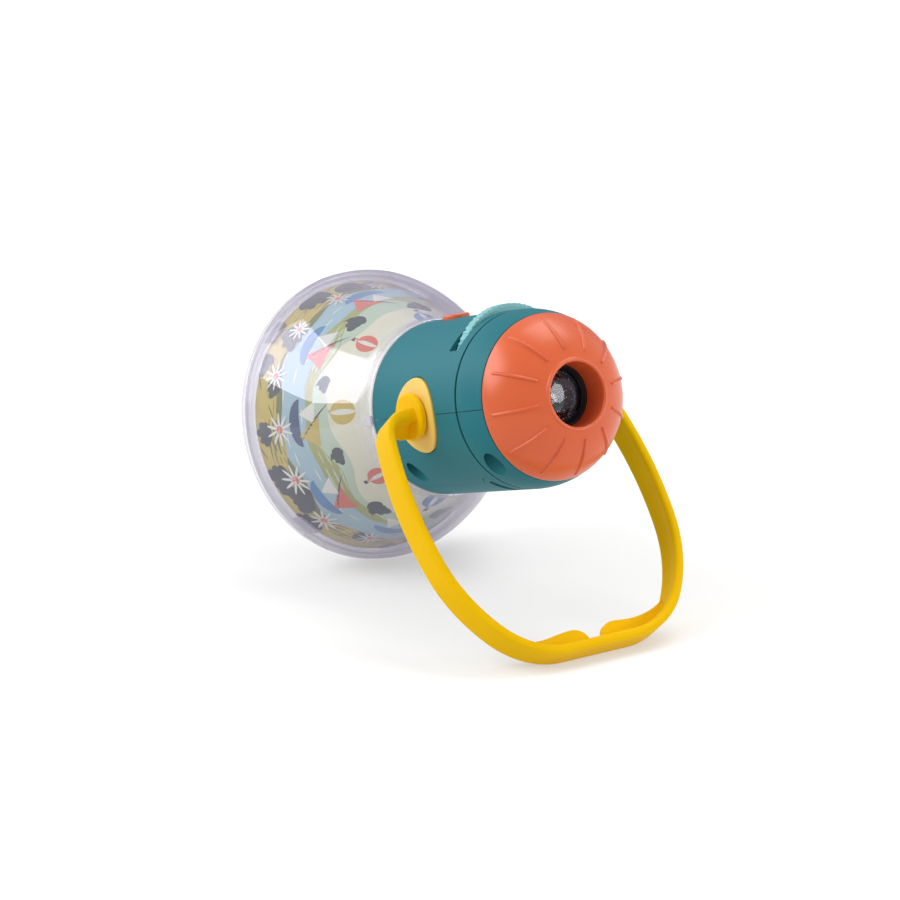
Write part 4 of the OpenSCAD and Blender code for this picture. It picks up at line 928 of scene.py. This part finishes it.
# %% Lens tube
TUBE_BACK, TUBE_HOLE, LEDGE_Z = 53.96, 7.8, 65.3
SLIDE_KEY_R, SLIDE_KEY_SIZE = 11.9, (2.1, 3.0, 2.4)
PIN_Z, PIN_FOOT, PIN_LONG, PIN_R = 70.5, 10.6, 3.35, 1.2
bm = bmesh.new()
thread = [(0, -45), 0.28, (0, 90), 0.28, (0, -45)] * 9
trace(bm, (TUBE_HOLE, TUBE_BACK), 90, [
    LEDGE_Z - TUBE_BACK, (0, -90), 2.45, (0, 90), 3.9, *thread, 0.35, (0.25, -90), 0.3,
    (0.25, -90), 19.1538, (0, -90), 3.25])
lathe(bm, 128)
for side in (-1, 1):
    block(bm, Matrix.Translation((side * SLIDE_KEY_R, 0, TUBE_BACK + SLIDE_KEY_SIZE[2] / 2)),
          SLIDE_KEY_SIZE, 0.2, 2)
    lie = (Matrix.Translation((0, side * (PIN_FOOT + PIN_LONG / 2), PIN_Z))
           @ Matrix.Rotation(radians(90), 4, "X"))
    peg = bmesh.ops.create_cone(bm, cap_ends=True, segments=32, radius1=PIN_R, radius2=PIN_R,
                                depth=PIN_LONG, matrix=lie)["verts"]
    peg_edges = {e for v in peg for e in v.link_edges}
    bevel(bm, [e for e in peg_edges if e.calc_face_angle(0) > 1], 0.2, 2)
settle(bm, "lens_tube", STAND, "lens_cell", black, "black_plastic", "lens_barrel", sharp=25)

# %% [markdown]
# The lens is one thick biconvex disc. Two squashed balls would not meet in a clean edge, so it is
# drawn as two shallow arcs and an edge, and spun round. A thin black ring with a bevelled inner edge
# holds it on its ledge.

# %% Lens and retainer
LENS_R, LENS_THICK, LENS_SAG = 10.2, 8.6, 2.0
bm = bmesh.new()
ball_r = (LENS_R ** 2 + LENS_SAG ** 2) / (2 * LENS_SAG)
open_angle = degrees(asin(LENS_R / ball_r))
lens_back = LEDGE_Z - (ball_r - (ball_r ** 2 - TUBE_HOLE ** 2) ** 0.5) + 0.05
trace(bm, (0, lens_back), 0, [(ball_r, open_angle), (0, 90 - open_angle), LENS_THICK - 2 * LENS_SAG,
                              (0, 90 - open_angle), (ball_r, open_angle)], per_step=1.5)
lathe(bm, 96)
settle(bm, "front_lens", STAND, "lens_cell", lens_glass, "lens_clear", "focus_lens")
bm = bmesh.new()
trace(bm, (9.7, lens_back + LENS_THICK - LENS_SAG + 0.2), 0,
      [0.5, (0, 90), 1.0, (0.15, 90), 0.1, (0, 60), 0.5, (0, 30), 0.717])
lathe(bm, 96)
settle(bm, "lens_clip", STAND, "lens_cell", black, "black_plastic", "lens_retainer", sharp=20)

# %% [markdown]
# The picture disc is turned with a thumb, so its rim has a soft knurl of shallow scallops. Ninety
# Boolean cuts would be slow and rough. Instead a band with rounded edges is spun round the disc's
# own centre in many steps, and its outside is waved in and out.

# %% Thumb rim
DISC_R, DISC_BACK, DISC_THICK, DISC_UP = 23.5, 44.5, 4.1, 11.1
SCALLOPS, SCALLOP_DEEP, PROUD, RIM_DEEP, RIM_ROUND = 92, 0.34, 0.04, 1.6, 0.5
bm = bmesh.new()
rim_side = RIM_DEEP + PROUD - RIM_ROUND
rim_wide = DISC_THICK + 2 * PROUD
trace(bm, (DISC_R - RIM_DEEP, DISC_BACK - PROUD), 0, [
    rim_side, (RIM_ROUND, 90), rim_wide - 2 * RIM_ROUND, (RIM_ROUND, 90), rim_side, (0, 90), rim_wide],
    per_step=18)
lathe(bm, SCALLOPS * 8)
for v in bm.verts:
    out = v.co.xy.length
    if out > DISC_R - 1.2:
        wave = 0.5 - 0.5 * cos(SCALLOPS * atan2(v.co.y, v.co.x))
        v.co.xy *= 1 - SCALLOP_DEEP * wave * wave / out
bmesh.ops.translate(bm, verts=bm.verts, vec=(0, DISC_UP, 0))
settle(bm, "thumb_rim", STAND, "picture_disc", light_teal, "light_teal_plastic")

# %% [markdown]
# The other solids already have the right shape, so each keeps its own mesh and takes a finish. The
# list goes by finish, because one finish serves several solids.

# %% Dress the solids
finish_of = {
    teal: "upper_shell lower_shell battery_door",
    cover_clear: "rear_cover",
    frosted: "light_diffuser",
    rubber: "left_friction_ring right_friction_ring",
    black: "film_gate lamp_tube switch_body",
    light_teal: "film_disc",
    film: "film_frames",
    steel: "detent_spring spring_contacts plate_contacts door_screw shell_screws",
    lens_glass: "condenser_lens",
    board: "circuit_board",
    resin: "projection_led night_light_led",
    cream: "switch_plunger",
    orange: "power_button",
    jacket: "battery_left battery_middle battery_right",
    wire: "battery_leads",
}
for finish, names in finish_of.items():
    for name in names.split():
        for holder in nodes[name].material_slots:
            holder.material = finish
print("solids dressed:", sum(len(names.split()) for names in finish_of.values()))

# %% [markdown]
# The set is a white sweep: one floor that runs past the frame. A plain white floor would need so
# much light that the object's colours would bleach. So half of its white is a matt surface that
# takes the lamps' shadow, and half is a soft glow from below, as on a light table. An ambient
# occlusion node darkens that glow to grey where the object stands close, as a painted contact shadow.


# %% Floor
def set_piece(bm, name, finish):
    """A thing of the set, which is no part of the object."""
    mesh = bpy.data.meshes.new(name)
    bm.to_mesh(mesh)
    bm.free()
    mesh.materials.append(finish)
    thing = bpy.data.objects.new(name, mesh)
    bpy.context.scene.collection.objects.link(thing)
    return thing


def shown_rays(start):
    """One for the rays that show a thing, straight or in gloss or glass, and nought for the rest."""
    kinds = [start.node("ShaderNodeLightPath", out=kind)
             for kind in ("Is Camera Ray", "Is Glossy Ray", "Is Transmission Ray")]
    return start.sum("MAXIMUM", kinds[0], start.sum("MAXIMUM", kinds[1], kinds[2]))


MATT, GLOW_NEAR, GLOW_FAR, GLOW_LIGHT, PAINTED_SHADOW_GREY = 0.50, 0.61, 0.90, 0.36, 0.66
floor_white, start = new_finish("floor white")
seen = shown_rays(start)
matt = start.node("ShaderNodeBsdfDiffuse", None, {"Color": rgba([MATT] * 3)})
far = start.node("ShaderNodeVectorMath", {"operation": "LENGTH"}, {0: places(start)}, out="Value")
away = start.node("ShaderNodeMapRange", {"interpolation_type": "SMOOTHSTEP"},
                  {"Value": far, "From Min": 0.12, "From Max": 1.2,
                   "To Min": GLOW_NEAR, "To Max": GLOW_FAR})
# Painted contact shadow: ambient occlusion turns the glow's colour grey near the object.
open_sky = start.node("ShaderNodeAmbientOcclusion", {"samples": 12}, {"Distance": 0.16}, out="AO")
shade = start.node("ShaderNodeValToRGB", {"stops": [(0.2, [PAINTED_SHADOW_GREY] * 3), (1.0, (1, 1, 1))]},
                   {"Fac": open_sky})
glow = start.node("ShaderNodeEmission", None,
                  {"Color": shade, "Strength": seen * away + (1 - seen) * GLOW_LIGHT})
surface(start, start.node("ShaderNodeAddShader", None, {0: matt, 1: glow}))
bm = bmesh.new()
bmesh.ops.create_grid(bm, x_segments=2, y_segments=2, size=6)
floor = set_piece(bm, "floor", floor_white)
print("floor 12 m across")

# %% [markdown]
# The white room itself gives the soft light that comes from all sides, and the world stands for it.
# It looks brighter than it lights, so that gloss and glass show a white room and the colours stay.

# %% Room light
ROOM_LIGHT, ROOM_SEEN = 0.45, 0.90
world = bpy.data.worlds.new("white room")
bpy.context.scene.world = world
world.use_nodes = True
world.node_tree.nodes.clear()
start = Flow(world.node_tree)
strength = shown_rays(start) * (ROOM_SEEN - ROOM_LIGHT) + ROOM_LIGHT
room = start.node("ShaderNodeBackground", None, {"Color": (1, 1, 1, 1), "Strength": strength})
start.node("ShaderNodeOutputWorld", None, {"Surface": room})
print("room lights at", ROOM_LIGHT, "and shows at", ROOM_SEEN)

# %% [markdown]
# The main light is a wide window on the left. One panel could do all its work, but what lights the
# matt plastic well makes too small a window in the gloss of the bell. So one panel lights, a larger
# one beside it shows only in gloss, and a weak one overhead fills the shadows.

# %% Lamps
MIDDLE = Vector((0, 0, 0.07))


def towards(azimuth, height, distance):
    a, e = radians(azimuth), radians(height)
    return Vector((sin(a) * cos(e), -cos(a) * cos(e), sin(e))) * distance + MIDDLE


def panel(name, place, size, level):
    """A flat lamp that looks at the object; level is how bright its face is."""
    light = bpy.data.lights.new(name, "AREA")
    light.shape = "RECTANGLE"
    light.size, light.size_y = size
    light.energy = level * pi * size[0] * size[1]
    lamp = bpy.data.objects.new(name, light)
    lamp.location = place
    lamp.rotation_euler = (MIDDLE - place).to_track_quat("-Z", "Y").to_euler()
    bpy.context.scene.collection.objects.link(lamp)
    return lamp


window = panel("left window", towards(-108, 39, 1.3), (0.95, 0.76), 3.9)
window.visible_glossy = False
window_glow = panel("window glow", towards(-116, 38, 1.5), (1.75, 1.0), 4.4)
window_glow.visible_diffuse = False
panel("overhead", towards(104, 66, 1.4), (0.85, 0.85), 3.2)
print("lamps: 3")

# %% [markdown]
# What a clear or glossy piece looks like depends on what it mirrors, so photographers hang cards
# round it. A grey card at the right rear gives the bell's far wall its shade, a white card at the
# left rear lightens the near rim, and an eight-sided light box at the right front shows in the lens
# and gives the dome its sheen. None of them is in the camera's view.


# %% Cards and front box
def hang(bm, name, place, colour, level):
    """A glowing flat shape that faces the object and that the camera doesn't see."""
    aim = (MIDDLE - place).to_track_quat("Z", "Y").to_matrix().to_4x4()
    bm.transform(Matrix.Translation(place) @ aim)
    finish, start = new_finish(name)
    surface(start, start.node("ShaderNodeEmission", None, {"Color": rgba(colour), "Strength": level}))
    card = set_piece(bm, name, finish)
    card.visible_camera = False
    return card


for name, place, wide, colour, level in (
        ("grey card", towards(137, 15, 1.5), 1.5, (0.38, 0.355, 0.43), 1.0),
        ("white card", towards(-158, 8, 1.5), 0.9, (1, 1, 1), 2.6)):
    bm = bmesh.new()
    bmesh.ops.create_grid(bm, x_segments=2, y_segments=2, size=0.5)
    bmesh.ops.scale(bm, vec=(wide, 1.0, 1), verts=bm.verts)
    card = hang(bm, name, place, colour, level)
    card.visible_diffuse = card.visible_shadow = card.visible_transmission = False
bm = bmesh.new()
bmesh.ops.create_circle(bm, cap_ends=True, segments=8, radius=0.275)
box = hang(bm, "front box", towards(31, 16.5, 1.25), (1, 1, 1), 6.5)
print("cards: 2, light boxes: 1")
